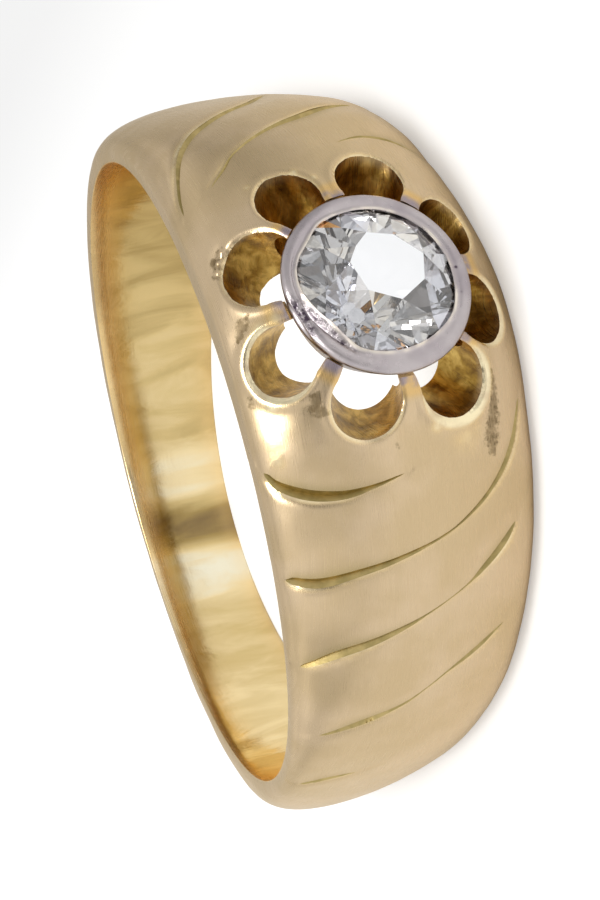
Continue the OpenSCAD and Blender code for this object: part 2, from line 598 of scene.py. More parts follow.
@dataclass(frozen=True)
class LobeShape:
    """The drilled and sawn lobes round the stone."""

    drill_x: float = 11.3
    inner_reach: float = 3.8
    length: float = 9.0
    throat: float = 1.4
    usual_r: float = 0.93
    taper: float = 18.0
    inset: float = 0.03
    overlap: float = 0.98
    arc_points: int = 84
    flank_points: int = 9
    foot_shares: tuple[float, float] = (0.33, 0.67)
    wall_steps: int = 72
    rows: tuple[LobeRow, ...] = (
        LobeRow(26, 2.85, 0.85, 43, -10, 0.10, 0.02, 0.9),
        LobeRow(66, 2.85, 1.03, 41, -16, 0.14, 0.02, 1.0),
        LobeRow(115, 3.20, 0.91, 48, -4, 0.10, 0.16, 0.5),
        LobeRow(159, 3.05, 0.93, 43, 11, 0.09, 0.05, 0.3),
        LobeRow(206, 2.95, 0.97, 38, 20, 0.09, 0.24, 0.4),
        LobeRow(249, 2.65, 0.94, 40, 12, 0.11, 0.09, 0.7),
        LobeRow(298, 2.60, 0.89, 45, 3, 0.11, 0.03, 0.7),
        LobeRow(344, 2.75, 0.94, 38, 3, 0.10, 0.02, 0.7),
    )

    def frame(self, row: LobeRow) -> Matrix:
        """Return the matrix from a drill's own frame, X along the drill, to the ring's frame."""
        turn = Matrix.Rotation(math.radians(row.turn), 4, "X")
        side = Matrix.Rotation(math.radians(row.side), 4, "Y")
        lean = Matrix.Rotation(math.radians(row.lean), 4, "Z")
        return turn @ Matrix.Translation((self.drill_x, row.out, 0.0)) @ side @ lean

    def flat(self, row: LobeRow, points: Array) -> tuple[Array, Array, Array]:
        """See points along the drill.

        Args:
            row: The lobe.
            points: Points in the ring's own frame.

        Returns:
            Their place in the drill's frame, their distance from the cut outline, negative inside, and
            how far out from the stone they lie round the drill, from -1 to 1.
        """
        back = np.array(self.frame(row).inverted())
        place = points @ back[:3, :3].T + back[:3, 3]
        across, up = -place[:, 2], place[:, 1]
        taper = math.radians(self.taper)
        radius = (1 - self.inset) * row.radius
        from_drill = np.hypot(across, up)
        flank = np.abs(across) * math.cos(taper) - up * math.sin(taper) - radius
        wedge = np.maximum(np.maximum(flank, -self.throat - up), up + radius * math.sin(taper))
        return place, np.minimum(from_drill - row.radius, wedge), up / np.maximum(from_drill, 1e-6)

    def outline(self) -> list[tuple[float, float]]:
        """Return the cut outline for a radius of 1, from one flank round the drilled side to the throat."""
        taper = math.radians(self.taper)
        radius = 1 - self.inset
        start = -taper - math.acos(radius) * self.overlap
        turns = np.linspace(start, math.pi - start, self.arc_points)
        arc = [(math.cos(a), math.sin(a)) for a in turns]
        reach = self.throat / self.usual_r
        end = radius * math.cos(taper) - (reach - radius * math.sin(taper)) * math.tan(taper)
        first, last = arc[-1], arc[0]
        shares = np.linspace(0, 1, self.flank_points)
        fall = [(first[0] + (-end - first[0]) * s, first[1] + (-reach - first[1]) * s) for s in shares[1:]]
        foot = [(-end + 2 * end * s, -reach) for s in self.foot_shares]
        rise = [(end + (last[0] - end) * s, -reach + (last[1] + reach) * s) for s in shares[:-1]]
        return arc + fall + foot + rise

    def cutter(self) -> Thing:
        """Build the cutter of a lobe of radius 1 along Z, which the tree sets out round the stone."""
        ring = self.outline()
        heights = [-self.inner_reach + self.length * k / self.wall_steps for k in range(self.wall_steps + 1)]
        points = [(x, y, z) for z in heights for x, y in ring]
        thing = new_object("lobe_cutter", np.array(points), ring_faces(len(heights), len(ring)))
        point_outwards(thing)
        return thing

    def places(self) -> Thing:
        """Build one point for each lobe, with the turn, size and roughness that the tree reads."""
        spots, turns, sizes, chips = [], [], [], []
        for row in self.rows:
            frame = self.frame(row) @ Matrix.Rotation(math.radians(90), 4, "Y")
            spots.append(frame.translation[:])
            turns.append(frame.to_euler("XYZ")[:])
            sizes.append((row.radius, row.radius, 1.0))
            chips.append(row.chips)
        thing = new_object("lobe_places", np.array(spots), [])
        put_values(thing.data, "drill_turn", np.array(turns))
        put_values(thing.data, "drill_size", np.array(sizes))
        put_values(thing.data, "chips", np.array(chips))
        return thing


@dataclass(frozen=True)
class Engraving:
    """The old hand-cut lines on both shoulders of the band."""

    depth_share: float = 1.3
    furrow: float = 0.085
    furrow_w: float = 0.62
    furrow_lip: float = 0.17
    furrow_range: tuple[float, float] = (0.35, 1.3)
    full_w: float = 0.2
    least_w: float = 0.02
    end_share: float = 0.3
    step: float = 0.12
    reach: float = 7.0
    at_r: float = 11.3
    probe_angle: float = 0.05
    probe_u: float = 0.01
    lines: Lines = (
        (
            (-20.6, 4.02, 0.10), (-22.8, 3.77, 0.20), (-24.7, 3.11, 0.24), (-25.4, 2.29, 0.20),
            (-25.0, 1.4, 0.10), (-24.2, 0.5, 0.03),
        ),
        (
            (-36.6, 3.85, 0.16), (-37.2, 3.1, 0.24), (-36.4, 2.1, 0.18), (-35.3, 0.8, 0.12),
            (-33.4, -0.6, 0.05), (-30.6, -1.7, 0.08), (-27.6, -2.5, 0.13), (-24.0, -3.1, 0.15),
            (-20.2, -3.45, 0.11), (-17.8, -3.62, 0.06),
        ),
        (
            (-51.2, 3.5, 0.10), (-49.0, 2.7, 0.21), (-47.0, 1.4, 0.16), (-44.4, 0.0, 0.05),
            (-41.9, -1.1, 0.05), (-39.8, -1.8, 0.14), (-37.0, -2.55, 0.16), (-34.6, -2.98, 0.06),
        ),
        (
            (-65.8, 2.78, 0.06), (-63.4, 1.7, 0.17), (-61.0, 0.7, 0.10), (-58.6, 0.0, 0.05),
            (-55.6, -0.8, 0.07), (-53.6, -1.5, 0.12), (-51.6, -2.15, 0.10), (-50.2, -2.6, 0.04),
        ),
        ((-84.4, 2.6, 0.10), (-82.0, 1.9, 0.14), (-80.4, 1.1, 0.06)),
        (
            (51.0, -1.0, 0.05), (46.4, -0.4, 0.14), (43.0, 0.15, 0.17), (40.0, 1.02, 0.18),
            (36.9, 1.99, 0.20), (34.8, 2.66, 0.20), (32.5, 3.13, 0.18), (30.0, 3.45, 0.15),
            (26.5, 3.71, 0.12), (23.2, 3.86, 0.10), (20.4, 3.92, 0.05),
        ),
        (
            (36.2, -2.6, 0.06), (34.4, -1.8, 0.14), (32.5, -0.99, 0.20), (31.0, -0.38, 0.20),
            (29.0, 0.6, 0.14), (27.2, 1.41, 0.10), (25.0, 2.25, 0.07), (23.0, 2.71, 0.09),
            (21.0, 3.22, 0.04),
        ),
        (
            (22.2, -0.7, 0.03), (23.3, -1.6, 0.10), (23.3, -2.3, 0.15), (22.3, -3.1, 0.16),
            (20.8, -3.5, 0.08),
        ),
    )

    def laid(self, band: BandShape, lines: Lines | None = None) -> list[Array]:
        """Lay lines on the band.

        Args:
            band: The band that carries them.
            lines: The lines, or none for the engraved ones.

        Returns:
            Place and width along each line, in the ring's own frame.
        """
        found = []
        for line in lines or self.lines:
            rows = [[*band.spot(angle, across, self.at_r), width] for angle, across, width in line]
            path = curve_through(np.array(rows), self.step)
            path[[0, -1], 3] *= self.end_share
            found.append(path)
        return found

    def beside(self, path: Array, points: Array) -> Beside:
        """See which points lie close to one line.

        Args:
            path: Places and widths along the line.
            points: Points in the ring's own frame.

        Returns:
            The points nearby, and how they lie to the line.
        """
        line = path[::2]
        middle = path[len(path) // 2, :3]
        near = np.flatnonzero(np.linalg.norm(points - middle, axis=1) < self.reach)
        away = points[near, None, :] - line[None, :, :3]
        closest = np.linalg.norm(away, axis=2).argmin(axis=1)
        away = away[np.arange(len(near)), closest]
        course = np.gradient(line[:, :3], axis=0)
        pace = np.linalg.norm(course, axis=1)
        along = (away * (course / pace[:, None])[closest]).sum(axis=1)
        along = np.where(closest == 0, np.maximum(along, 0.0), along)
        along = np.where(closest == len(line) - 1, np.minimum(along, 0.0), along)
        gap = np.sqrt(np.maximum((away**2).sum(axis=1) - along**2, 0.0))
        flank = np.cross(line[:, :3] * RADIAL, course)
        flank /= np.linalg.norm(flank, axis=1, keepdims=True)
        left = (away * flank[closest]).sum(axis=1)
        width = line[:, 3][closest] + along * (np.gradient(line[:, 3]) / pace)[closest]
        return Beside(near, gap, left, width, flank[closest])

    def sink(self, band: BandShape, points: Array) -> Array:
        """Return how deep the soft flute beside each line is at points of the outside.

        Args:
            band: The band that carries the lines.
            points: Points in the ring's own frame.

        Returns:
            Depth at each point.
        """
        low = np.zeros(len(points))
        for path in self.laid(band):
            by = self.beside(path, points)
            spread = np.where(by.left > 0.0, self.furrow_w, self.furrow_lip)
            strength = self.furrow * np.clip(by.width / self.full_w, *self.furrow_range)
            low[by.near] += strength * bell(by.gap, spread)
        return low

    def paths(self, band: BandShape) -> Thing:
        """Lay the lines on the band's outside, as edges with a width and an outward direction.

        Args:
            band: The band that carries them.

        Returns:
            The object with one row of edges for each line.
        """
        spots: list[Array] = []
        edges: list[tuple[int, int]] = []
        for path in self.laid(band):
            start = len(spots)
            spots.extend(path)
            edges += [(start + i, start + i + 1) for i in range(len(path) - 1)]
        table = np.array(spots)
        _, angle, u = band.depth(table[:, :3])
        table[:, :3] = band.outside(angle, u)
        turned = band.outside(angle + self.probe_angle, u) - band.outside(angle - self.probe_angle, u)
        higher, lower = np.clip(u + self.probe_u, -1, 1), np.clip(u - self.probe_u, -1, 1)
        normal = np.cross(turned, band.outside(angle, higher) - band.outside(angle, lower))
        normal /= np.linalg.norm(normal, axis=1, keepdims=True)
        table[:, :3] -= normal * self.sink(band, table[:, :3])[:, None]
        thing = new_object("engraved_paths", table[:, :3], [], edges)
        put_values(thing.data, "outward", normal)
        put_values(thing.data, "cut_width", np.maximum(table[:, 3], self.least_w))
        return thing


@dataclass(frozen=True)
class StoneShape:
    """The old mine cut diamond: table, crown, girdle, pavilion and open culet."""

    girdle_r: float = 2.27
    girdle_x: float = 11.8
    girdle_points: int = 64
    lip_x: float = 11.88
    crown_h: float = 0.83
    table_r: float = 1.044
    pavilion_h: float = 1.85
    culet_r: float = 0.24
    star_share: float = 0.5
    star_steep: float = 0.93
    star_limit: float = 0.66
    table_ease: float = 0.98
    lower_share: float = 0.14
    girdle_top_trim: float = 0.005
    girdle_foot_trim: float = 0.01
    pavilion_lift: float = 0.012
    culet_shine: float = 0.8
    # Facets with a painted flash of orange or blue fire, and a share of mirror gloss.
    fires: tuple[Fire, ...] = (
        Fire(2, 0.5, 0.50), Fire(3, 0.5, 0.10), Fire(4, 1.0, 0.70), Fire(9, 0.5, 0.10),
        Fire(14, 0.5, 0.10), Fire(16, 0.5, 0.20), Fire(20, 0.5, 0.60), Fire(28, 0.5, 0.20),
    )
    # The star and rim values are painted brightness: low values paint those facets as dark reflection.
    corners: tuple[TableCorner, ...] = (
        TableCorner(8, 1.12, 1.0, 1.0), TableCorner(36, 0.97, 0.9, 0.5), TableCorner(67, 0.95, 0.6, 0.3),
        TableCorner(126, 0.80, 1.0, 1.0), TableCorner(190, 0.90, 0.06, 1.0), TableCorner(244, 1.04, 0.9, 1.0),
        TableCorner(282, 1.18, 1.0, 0.6), TableCorner(330, 1.06, 1.0, 0.9),
    )

    def crown_x(self, r: float) -> float:
        """Return the height of the plain crown at a distance from the stone's axis."""
        return self.lip_x + self.crown_h * (self.girdle_r - r) / (self.girdle_r - self.table_r)

    def uneven(self, k: int, amount: float) -> float:
        """Return a fixed small departure for a facet's corner, as the cutter's hand left it."""
        return amount * math.sin(12.9898 * k + 4.1)

    def stars(self) -> list[Triple]:
        """Return the outer corner of each star facet."""
        found = []
        for k, (first, second) in enumerate(zip(self.corners, (*self.corners[1:], self.corners[0]))):
            gap = (second.turn - first.turn) % 360.0
            edge = 0.5 * (first.out + second.out)
            turn = first.turn + gap / 2 + self.uneven(k, 2.0)
            r = edge + self.star_share * (self.girdle_r - edge) + self.uneven(k + 20, 0.04)
            flat = math.cos(math.radians(gap / 2))
            width = self.girdle_r - edge * flat * self.table_ease
            fall = self.crown_h * self.star_steep * (self.girdle_r - r * flat) / width
            found.append(around(r, turn, self.lip_x + min(fall, self.crown_h * self.star_limit)))
        return found

    def pavilion(self) -> tuple[list[Triple], list[Triple]]:
        """Return the upper corner of each main facet of the pavilion, and the culet's corners."""
        sides = len(self.corners)
        step = 360.0 / sides
        reach = self.girdle_r - self.culet_r
        mains = []
        for k in range(sides):
            r = self.girdle_r - self.lower_share * reach + self.uneven(k + 40, 0.05)
            drop = self.pavilion_h * (self.girdle_r - r * math.cos(math.radians(step / 2))) / reach
            turn = step * k + step / 2 + self.uneven(k + 60, 2.5)
            mains.append(around(r, turn, self.girdle_x - drop + self.pavilion_lift))
        low = self.girdle_x - self.pavilion_h
        return mains, [around(self.culet_r, step * k + self.uneven(k + 80, 3.0), low) for k in range(sides)]

    def facets(self, stars: list[Triple]) -> Faces:
        """Number the corners of each facet: table, crown, girdle, pavilion and culet.

        Args:
            stars: The outer corner of each star facet.

        Returns:
            Vertex numbers of each facet.
        """
        sides, rounds = len(self.corners), self.girdle_points
        star, top, low = sides, 2 * sides, 2 * sides + rounds
        main, point = low + rounds, low + rounds + sides
        marks = [round(corner.turn / 360.0 * rounds) % rounds for corner in self.corners]
        turns = [math.degrees(math.atan2(z, y)) % 360.0 for _, y, z in stars]
        middles = [round(turn / 360.0 * rounds) % rounds for turn in turns]
        faces: Faces = [tuple(range(sides))]
        for k in range(sides):
            before, after = (k - 1) % sides, (k + 1) % sides
            faces.append((k, star + k, after))
            faces.append((k, star + before, top + marks[k], star + k))
            for start, end in ((marks[k], middles[k]), (middles[k], marks[after])):
                arc = [top + (start + j) % rounds for j in range((end - start) % rounds + 1)]
                faces.append((star + k, *arc))
        faces += [(top + k, low + k, low + (k + 1) % rounds, top + (k + 1) % rounds) for k in range(rounds)]
        span = rounds // sides
        for k in range(sides):
            before, after = (k - 1) % sides, (k + 1) % sides
            for end in (span * k + span // 2, span * (k + 1)):
                faces.append((main + k, *[low + (end - j) % rounds for j in range(span // 2 + 1)]))
            faces.append((point + k, main + k, low + span * k, main + before))
            faces.append((point + k, point + after, main + k))
        faces.append(tuple(point + k for k in reversed(range(sides))))
        return faces

    def build(self, band: BandShape) -> Thing:
        """Build the stone's facets, cut a little unevenly by hand.

        Args:
            band: The band, for its frame.

        Returns:
            The stone's closed mesh.
        """
        table = [around(corner.out, corner.turn, self.lip_x + self.crown_h) for corner in self.corners]
        stars = self.stars()
        turns = [360.0 * k / self.girdle_points for k in range(self.girdle_points)]
        upper = [around(self.girdle_r, turn, self.lip_x - self.girdle_top_trim) for turn in turns]
        under = [around(self.girdle_r, turn, self.girdle_x + self.girdle_foot_trim) for turn in turns]
        mains, culet = self.pavilion()
        points = np.array(table + stars + upper + under + mains + culet)
        thing = new_object("stone_cut", band.settle(points), self.facets(stars))
        point_outwards(thing)
        self.tint(thing.data)
        return thing

    def tint(self, mesh: Mesh) -> None:
        """Store how each facet shines, leans in colour, how bright it is painted, and its painted flash of
        fire.

        Args:
            mesh: The stone's mesh.
        """
        flashes = {row.facet: row for row in self.fires}
        glossy = {0: 1.0, len(mesh.polygons) - 1: self.culet_shine}
        glossy |= {row.facet: row.shine for row in self.fires}
        sides = len(self.corners)
        found: dict[str, list[float]] = {}
        for face in mesh.polygons:
            k = face.index
            corner = self.corners[(k - 1) // 4 % sides]
            rim_or_star = corner.star if k % 4 == 1 else corner.rim
            values = {
                "table_share": glossy.get(k, 0.0),
                "facet_lean": 0.5 + 0.5 * math.sin(k * 7.31 + 1.7),
                "facet_painted_brightness": rim_or_star if 0 < k <= 4 * sides else 1.0,
                "facet_painted_fire": flashes[k].warmth if k in flashes else 0.0,
            }
            for name, value in values.items():
                found.setdefault(name, []).extend([value] * face.loop_total)
        for name, values in found.items():
            put_values(mesh, name, np.array(values), "CORNER")


@dataclass(frozen=True)
class ColletShape:
    """The white metal collet, from its foot to its worn rolled lip."""

    outer_r: float = 2.57
    lip_x: float = 11.88
    taper: float = 26.0
    foot_x: float = 10.15
    wall: float = 0.36
    lip_top: float = 12.085
    rim_x: float = 11.93
    bend_x: float = 11.5
    bend_r: float = 2.15
    ledge_x: float = 11.79
    ledge_r: float = 2.12
    ledge_slope: float = 0.902
    crown_gap: float = 0.022
    steps: int = 260
    ease_reach: int = 15
    ease_spread: float = 3.2
    lip: tuple[LipRow, ...] = (
        LipRow(6, 2.06, 0.00, 0.00, 0.010), LipRow(30, 2.12, 0.00, 0.00, 0.004),
        LipRow(46, 2.05, 0.00, -0.01, 0.012), LipRow(70, 2.16, 0.00, 0.00, 0.020),
        LipRow(86, 2.10, 0.02, -0.01, 0.020), LipRow(97, 2.02, 0.15, -0.10, 0.030),
        LipRow(106, 1.95, 0.17, -0.12, 0.050), LipRow(120, 1.88, 0.06, -0.02, 0.090),
        LipRow(134, 1.94, 0.02, 0.00, 0.070), LipRow(147, 2.04, 0.01, 0.00, 0.020),
        LipRow(166, 2.00, 0.00, 0.00, 0.006), LipRow(190, 1.97, 0.00, 0.00, 0.000),
        LipRow(214, 2.00, 0.00, -0.01, 0.008), LipRow(235, 2.08, 0.01, 0.00, 0.000),
        LipRow(262, 2.04, 0.00, 0.00, 0.004), LipRow(300, 2.09, 0.01, 0.00, 0.010),
        LipRow(334, 2.08, 0.00, 0.00, 0.004),
    )

    def read_lip(self, turn: float) -> LipRow:
        """Read the lip table smoothly at a turn in degrees."""
        rows = np.array(self.lip, dtype=float)
        grid = np.arange(0.0, 360.0, 1.0)
        reach = self.ease_reach
        kernel = np.exp(-0.5 * (np.arange(-reach, reach + 1) / self.ease_spread) ** 2)
        found = []
        for column in rows.T[1:]:
            spread = np.interp(grid, rows[:, 0], column, period=360.0)
            wrapped = np.concatenate([spread[-reach:], spread, spread[:reach]])
            eased = np.convolve(wrapped, kernel / kernel.sum(), mode="valid")
            found.append(float(np.interp(turn, grid, eased, period=360.0)))
        return LipRow(turn, *found)

    def wall_r(self, x: Any) -> Any:
        """Return the tapered outer wall's radius at a height."""
        return self.outer_r - (self.lip_x - x) * math.tan(math.radians(self.taper))

    def section(self, lip: LipRow, crown: StoneShape) -> Array:
        """Draw the collet's closed section at one turn.

        Args:
            lip: The lip's wear there.
            crown: The stone, whose crown the lip clears.

        Returns:
            Points of radius and height, from the foot up the outside and back down the inside.
        """
        outer, inner = self.outer_r - lip.knocked_in, lip.inner_r
        top = self.lip_top + lip.lift
        foot_r = self.wall_r(self.foot_x)
        inner_foot = foot_r - self.wall
        rise, height = self.bend_x - self.foot_x, self.lip_x - self.foot_x
        bend_r = inner_foot + (self.bend_r - inner_foot) * rise / height
        under = max(crown.crown_x(inner) + self.crown_gap + 0.012, self.rim_x)
        ledge = crown.girdle_r + 0.02
        hand = [
            # The foot and the tapered outside.
            (foot_r - 0.06, self.foot_x),
            (foot_r, self.foot_x + 0.05),
            (self.wall_r(10.7), 10.7),
            (self.wall_r(11.2), 11.2),
            (self.wall_r(11.6), 11.6),
            (self.wall_r(11.78) - 0.01, 11.78),
            # The rolled lip.
            (outer - 0.005, 11.86),
            (outer, self.rim_x),
            (outer - 0.04, top - 0.07),
            (outer - 0.12, top - 0.018),
            (outer - 0.21, top),
            # The groove, and the ridge next to the stone.
            (0.55 * (outer - 0.21) + 0.45 * (inner + 0.12), top - 0.006 - 0.3 * lip.groove),
            (inner + 0.16, top - 0.016 - lip.groove),
            (inner + 0.115, top - 0.018 - lip.groove),
            (inner + 0.06, top - 0.002),
            (inner + 0.015, max(top - 0.02, under + 0.03)),
            (inner, max(top - 0.05, under + 0.015)),
            # The underside over the stone's crown, and the ledge under its girdle.
            (inner + 0.01, under),
            (2.2, crown.crown_x(2.2) + self.crown_gap),
            (2.285, crown.crown_x(2.27) + self.crown_gap),
            (ledge, self.ledge_x),
            (self.ledge_r, self.ledge_x - (ledge - self.ledge_r) * self.ledge_slope),
            # The inner wall.
            (bend_r, self.bend_x),
            (0.5 * (bend_r + inner_foot), 0.5 * (self.bend_x + self.foot_x)),
            (inner_foot, self.foot_x + 0.05),
            (inner_foot + 0.05, self.foot_x),
        ]
        return np.array(hand)

    def eased(self, section: Array) -> Array:
        """Round a section's corners a little, and keep it inside the tapered seat.

        Args:
            section: Corners of the section, as radius and height.

        Returns:
            Points of the rounded section.
        """
        loop = np.vstack([section, section[:1]])
        lengths = lengths_along(loop)
        wanted = np.concatenate([np.linspace(a, b, 4)[:-1] for a, b in zip(lengths, lengths[1:])])
        fine = np.stack([np.interp(wanted, lengths, loop[:, c]) for c in (0, 1)], axis=1)
        for _ in range(2):
            fine = 0.25 * np.roll(fine, 1, axis=0) + 0.5 * fine + 0.25 * np.roll(fine, -1, axis=0)
        seat_r = self.wall_r(np.minimum(self.lip_x, fine[:, 1]))
        fine[:, 0] = np.minimum(fine[:, 0], np.maximum(seat_r, 0.1))
        return fine

    def build(self, band: BandShape, crown: StoneShape) -> Thing:
        """Turn the section round the stone's axis, with the lip's wear.

        Args:
            band: The band, for its frame.
            crown: The stone that the collet holds.

        Returns:
            The collet's closed mesh.
        """
        rows, worn, ridge = [], [], []
        for k in range(self.steps):
            lip = self.read_lip(360.0 * k / self.steps)
            for r, x in self.eased(self.section(lip, crown)):
                spot = Vector(around(r, lip.turn, x))
                exposed = smooth_step(x, 11.84, 11.94)
                hollow = 0.012 * (noise.noise(spot * 2.6) - 0.25) + 0.006 * (noise.noise(spot * 7.0) - 0.3)
                rows.append(around(r, lip.turn, x + exposed * min(0.0, hollow)))
                behind = bell(r - lip.inner_r - 0.15, 0.09) * min(lip.groove / 0.05, 1.0)
                dented = lip.knocked_in / 0.15 * smooth_step(r, 2.1, 2.3)
                worn.append(exposed * max(dented, 0.9 * behind))
                ridge.append(exposed * bell(r - lip.inner_r - 0.035, 0.05))
        faces = ring_faces(self.steps, len(rows) // self.steps, joined=True)
        thing = new_object("collet_metal", band.settle(np.array(rows)), faces)
        put_values(thing.data, "knocked", np.array(worn))
        put_values(thing.data, "ridge", np.array(ridge))
        point_outwards(thing)
        thing.data.shade_smooth()
        return thing


@dataclass(frozen=True)
class SatinGold:
    """Old yellow gold: a satin skin with fine scratches, darker in the lobes and dusty in the cuts, with
    painted highlights, painted shade and painted reflection.
    """

    skin: Colour = (0.64, 0.485, 0.285)
    pale: Colour = (0.71, 0.545, 0.35)
    worn: Colour = (0.50, 0.365, 0.20)
    # graved is the dark colour of the cuts, partly dirt and partly painted shade, also laid along the flutes;
    # the next is the painted light on the wall that looks left.
    graved: Colour = (0.38, 0.295, 0.115)
    graved_painted_light: Colour = (0.60, 0.46, 0.20)
    smudge: Colour = (0.27, 0.195, 0.105)
    # Painted orange reflection of gold in gold, for the finger hole's flared edges.
    orange: Colour = (1.0, 0.71, 0.35)
    rib: Colour = (0.74, 0.50, 0.215)
    solder: Colour = (0.36, 0.30, 0.33)
    dirt: Colour = (0.15, 0.105, 0.05)
    glint: Colour = (1.0, 0.94, 0.82)
    # Colours of worn-bright lips and of painted highlights.
    rubbed_and_painted_highlight: Stops = ((0.25, (0.95, 0.70, 0.32)), (0.85, (1.0, 0.87, 0.57)))
    walls: Stops = ((0.28, (0.12, 0.05, 0.01)), (0.46, (0.46, 0.265, 0.045)), (0.64, (0.90, 0.61, 0.17)))
    # Colours of the finger hole by its polish value: dark tarnish up to near white, partly painted
    # reflection.
    inner: Stops = (
        (0.0, (0.22, 0.15, 0.08)),
        (0.28, (0.43, 0.31, 0.12)),
        (0.55, (0.74, 0.57, 0.27)),
        (0.78, (0.97, 0.80, 0.47)),
        (1.0, (1.0, 0.95, 0.76)),
    )
    marks: tuple[str, ...] = (
        *("lobe_depth", "inside", "flared", "polish", "graved"),
        *("graved_painted_light", "flute", "solder", "grime", "edge"),
    )
    bump: float = 0.5
    bump_m: float = 0.000018

    def read_marks(self, bench: Bench) -> dict[str, Socket]:
        """Read where the band is worn and where light or shade is painted on it, and lay the patterns of
        scratches, dust and polish.

        Args:
            bench: The bench for the material's tree.

        Returns:
            How strong each kind of wear and each painted mark is, and each pattern, by name.
        """
        wrap = bench.out("ShaderNodeUVMap", uv_map="band_wrap")
        place = bench.add("ShaderNodeTexCoord").outputs["Object"]
        drill = bench.read("drill_place").outputs["Vector"]
        mark = {name: bench.read(name).outputs["Fac"] for name in self.marks}
        mark["flared"] = bench.times(mark["inside"], mark["flared"])
        mark["cloud"] = bench.grain(place, 420.0, 3.0, 0.55)
        mark["mottle"] = bench.grain(place, 1900.0, 4.0, 0.6)
        mark["speck"] = bench.grain(place, 5200.0, 3.0, 0.7)
        mark["dust"] = bench.grain(place, 2600.0, 3.0, 0.6)
        mark["brushed"] = bench.grain(bench.stretch(wrap, (0.35, 14.0, 1.0)), 3.0, 5.0, 0.6)
        mark["crossed"] = bench.grain(bench.stretch(wrap, (9.0, 0.5, 1.0), 0.5), 2.2, 4.0, 0.6)
        mark["streak"] = bench.grain(bench.stretch(wrap, (0.9, 0.3, 1.0)), 1.0, 4.0, 0.55, 0.8)
        mark["drawn"] = bench.grain(bench.stretch(drill, (0.9, 1.7, 1.7)), 1.2, 4.0, 0.62, 0.4)
        uneven = bench.span(bench.plus(mark["mottle"], mark["speck"]), 0.7, 1.3, -0.4, 0.4)
        ragged = bench.plus(mark["grime"], uneven)
        mark["smudged"] = bench.times(bench.span(ragged, 0.2, 0.85), bench.span(mark["grime"], 0.03, 0.35))
        dotted = bench.span(bench.plus(mark["speck"], mark["brushed"]), 0.92, 1.2, 0.0, 0.7)
        mark["dusty"] = bench.times(mark["smudged"], dotted, clamp=True)
        return mark

    def tone(self, bench: Bench, mark: dict[str, Socket]) -> Socket:
        """Colour the gold, from the skin up to the worn lips, with painted reflection in the finger hole,
        painted light and shade in the cuts, and painted highlights.

        Args:
            bench: The bench for the material's tree.
            mark: Each kind of wear and each pattern.

        Returns:
            The colour.
        """
        tone = bench.blend(bench.span(mark["cloud"], 0.38, 0.66), self.skin, self.pale)
        tone = bench.blend(bench.span(mark["brushed"], 0.30, 0.75, 0.0, 0.15), tone, self.worn)

        # The finger hole: bands of polish and tarnish that are partly painted reflection, and painted orange
        # reflection on its flared edges.
        polish = bench.plus(mark["polish"], bench.span(mark["streak"], 0.3, 0.7, -0.09, 0.09))
        bore = bench.blend(bench.times(mark["flared"], 0.6), bench.ramp(polish, self.inner), self.orange)
        tone = bench.blend(mark["inside"], tone, bore)
        tone = bench.blend(mark["lobe_depth"], tone, bench.ramp(mark["drawn"], self.walls))

        # The engraving: painted shade along each flute; in the cut, painted light on the wall that looks
        # left, dark dirt and painted shade on the other, varied at random by dust.
        dust = bench.span(mark["dust"], 0.35, 0.65, -0.1, 0.5)
        lit = bench.plus(bench.times(mark["graved_painted_light"], 0.35), dust, clamp=True)
        tone = bench.blend(mark["flute"], tone, self.graved)
        tone = bench.blend(mark["graved"], tone, bench.blend(lit, self.graved, self.graved_painted_light))

        tone = bench.blend(bench.span(mark["solder"], 0.05, 0.5), tone, self.rib)
        patchy = bench.span(mark["mottle"], 0.30, 0.58)
        stain = bench.times(bench.span(mark["solder"], 0.55, 0.95), patchy, clamp=True)
        tone = bench.blend(stain, tone, self.solder)

        tone = bench.blend(bench.times(mark["smudged"], 0.75), tone, self.smudge)
        tone = bench.blend(mark["dusty"], tone, self.dirt)
        # Painted highlight on worn lips and spots, mottled at random.
        bright = bench.times(mark["edge"], bench.span(mark["mottle"], 0.3, 0.6, 0.35, 1.0))
        return bench.blend(bright, tone, bench.ramp(mark["edge"], self.rubbed_and_painted_highlight))

    def rough(self, bench: Bench, mark: dict[str, Socket]) -> Socket:
        """Set how rough it is: brushed skin, duller cuts and dirt, brighter lips and finger hole.

        Args:
            bench: The bench for the material's tree.
            mark: Each kind of wear and each pattern.

        Returns:
            The roughness.
        """
        rough = bench.span(mark["brushed"], 0.25, 0.75, 0.24, 0.36)
        rough = bench.plus(rough, bench.times(mark["graved"], 0.12))
        rough = bench.minus(rough, bench.times(mark["edge"], 0.15))
        rough = bench.minus(rough, bench.times(mark["inside"], 0.17))
        rough = bench.plus(rough, bench.times(mark["flared"], 0.14))
        return bench.plus(rough, bench.times(mark["dusty"], 0.35), clamp=True)

    def relief(self, bench: Bench, mark: dict[str, Socket]) -> Socket:
        """Raise the fine marks: scratches, drawn lobe walls and streaks inside.

        Args:
            bench: The bench for the material's tree.
            mark: Each kind of wear and each pattern.

        Returns:
            The height.
        """
        marks = bench.plus(bench.times(mark["brushed"], 0.3), bench.times(mark["crossed"], 0.1))
        marks = bench.plus(marks, bench.times(mark["mottle"], 0.4))
        marks = bench.times(marks, bench.span(mark["inside"], 0.0, 1.0, 1.0, 0.35))
        drawn = bench.times(bench.times(mark["lobe_depth"], mark["drawn"]), 3.0)
        streaks = bench.times(bench.times(mark["inside"], mark["streak"]), 2.0)
        return bench.plus(bench.plus(marks, drawn), streaks)

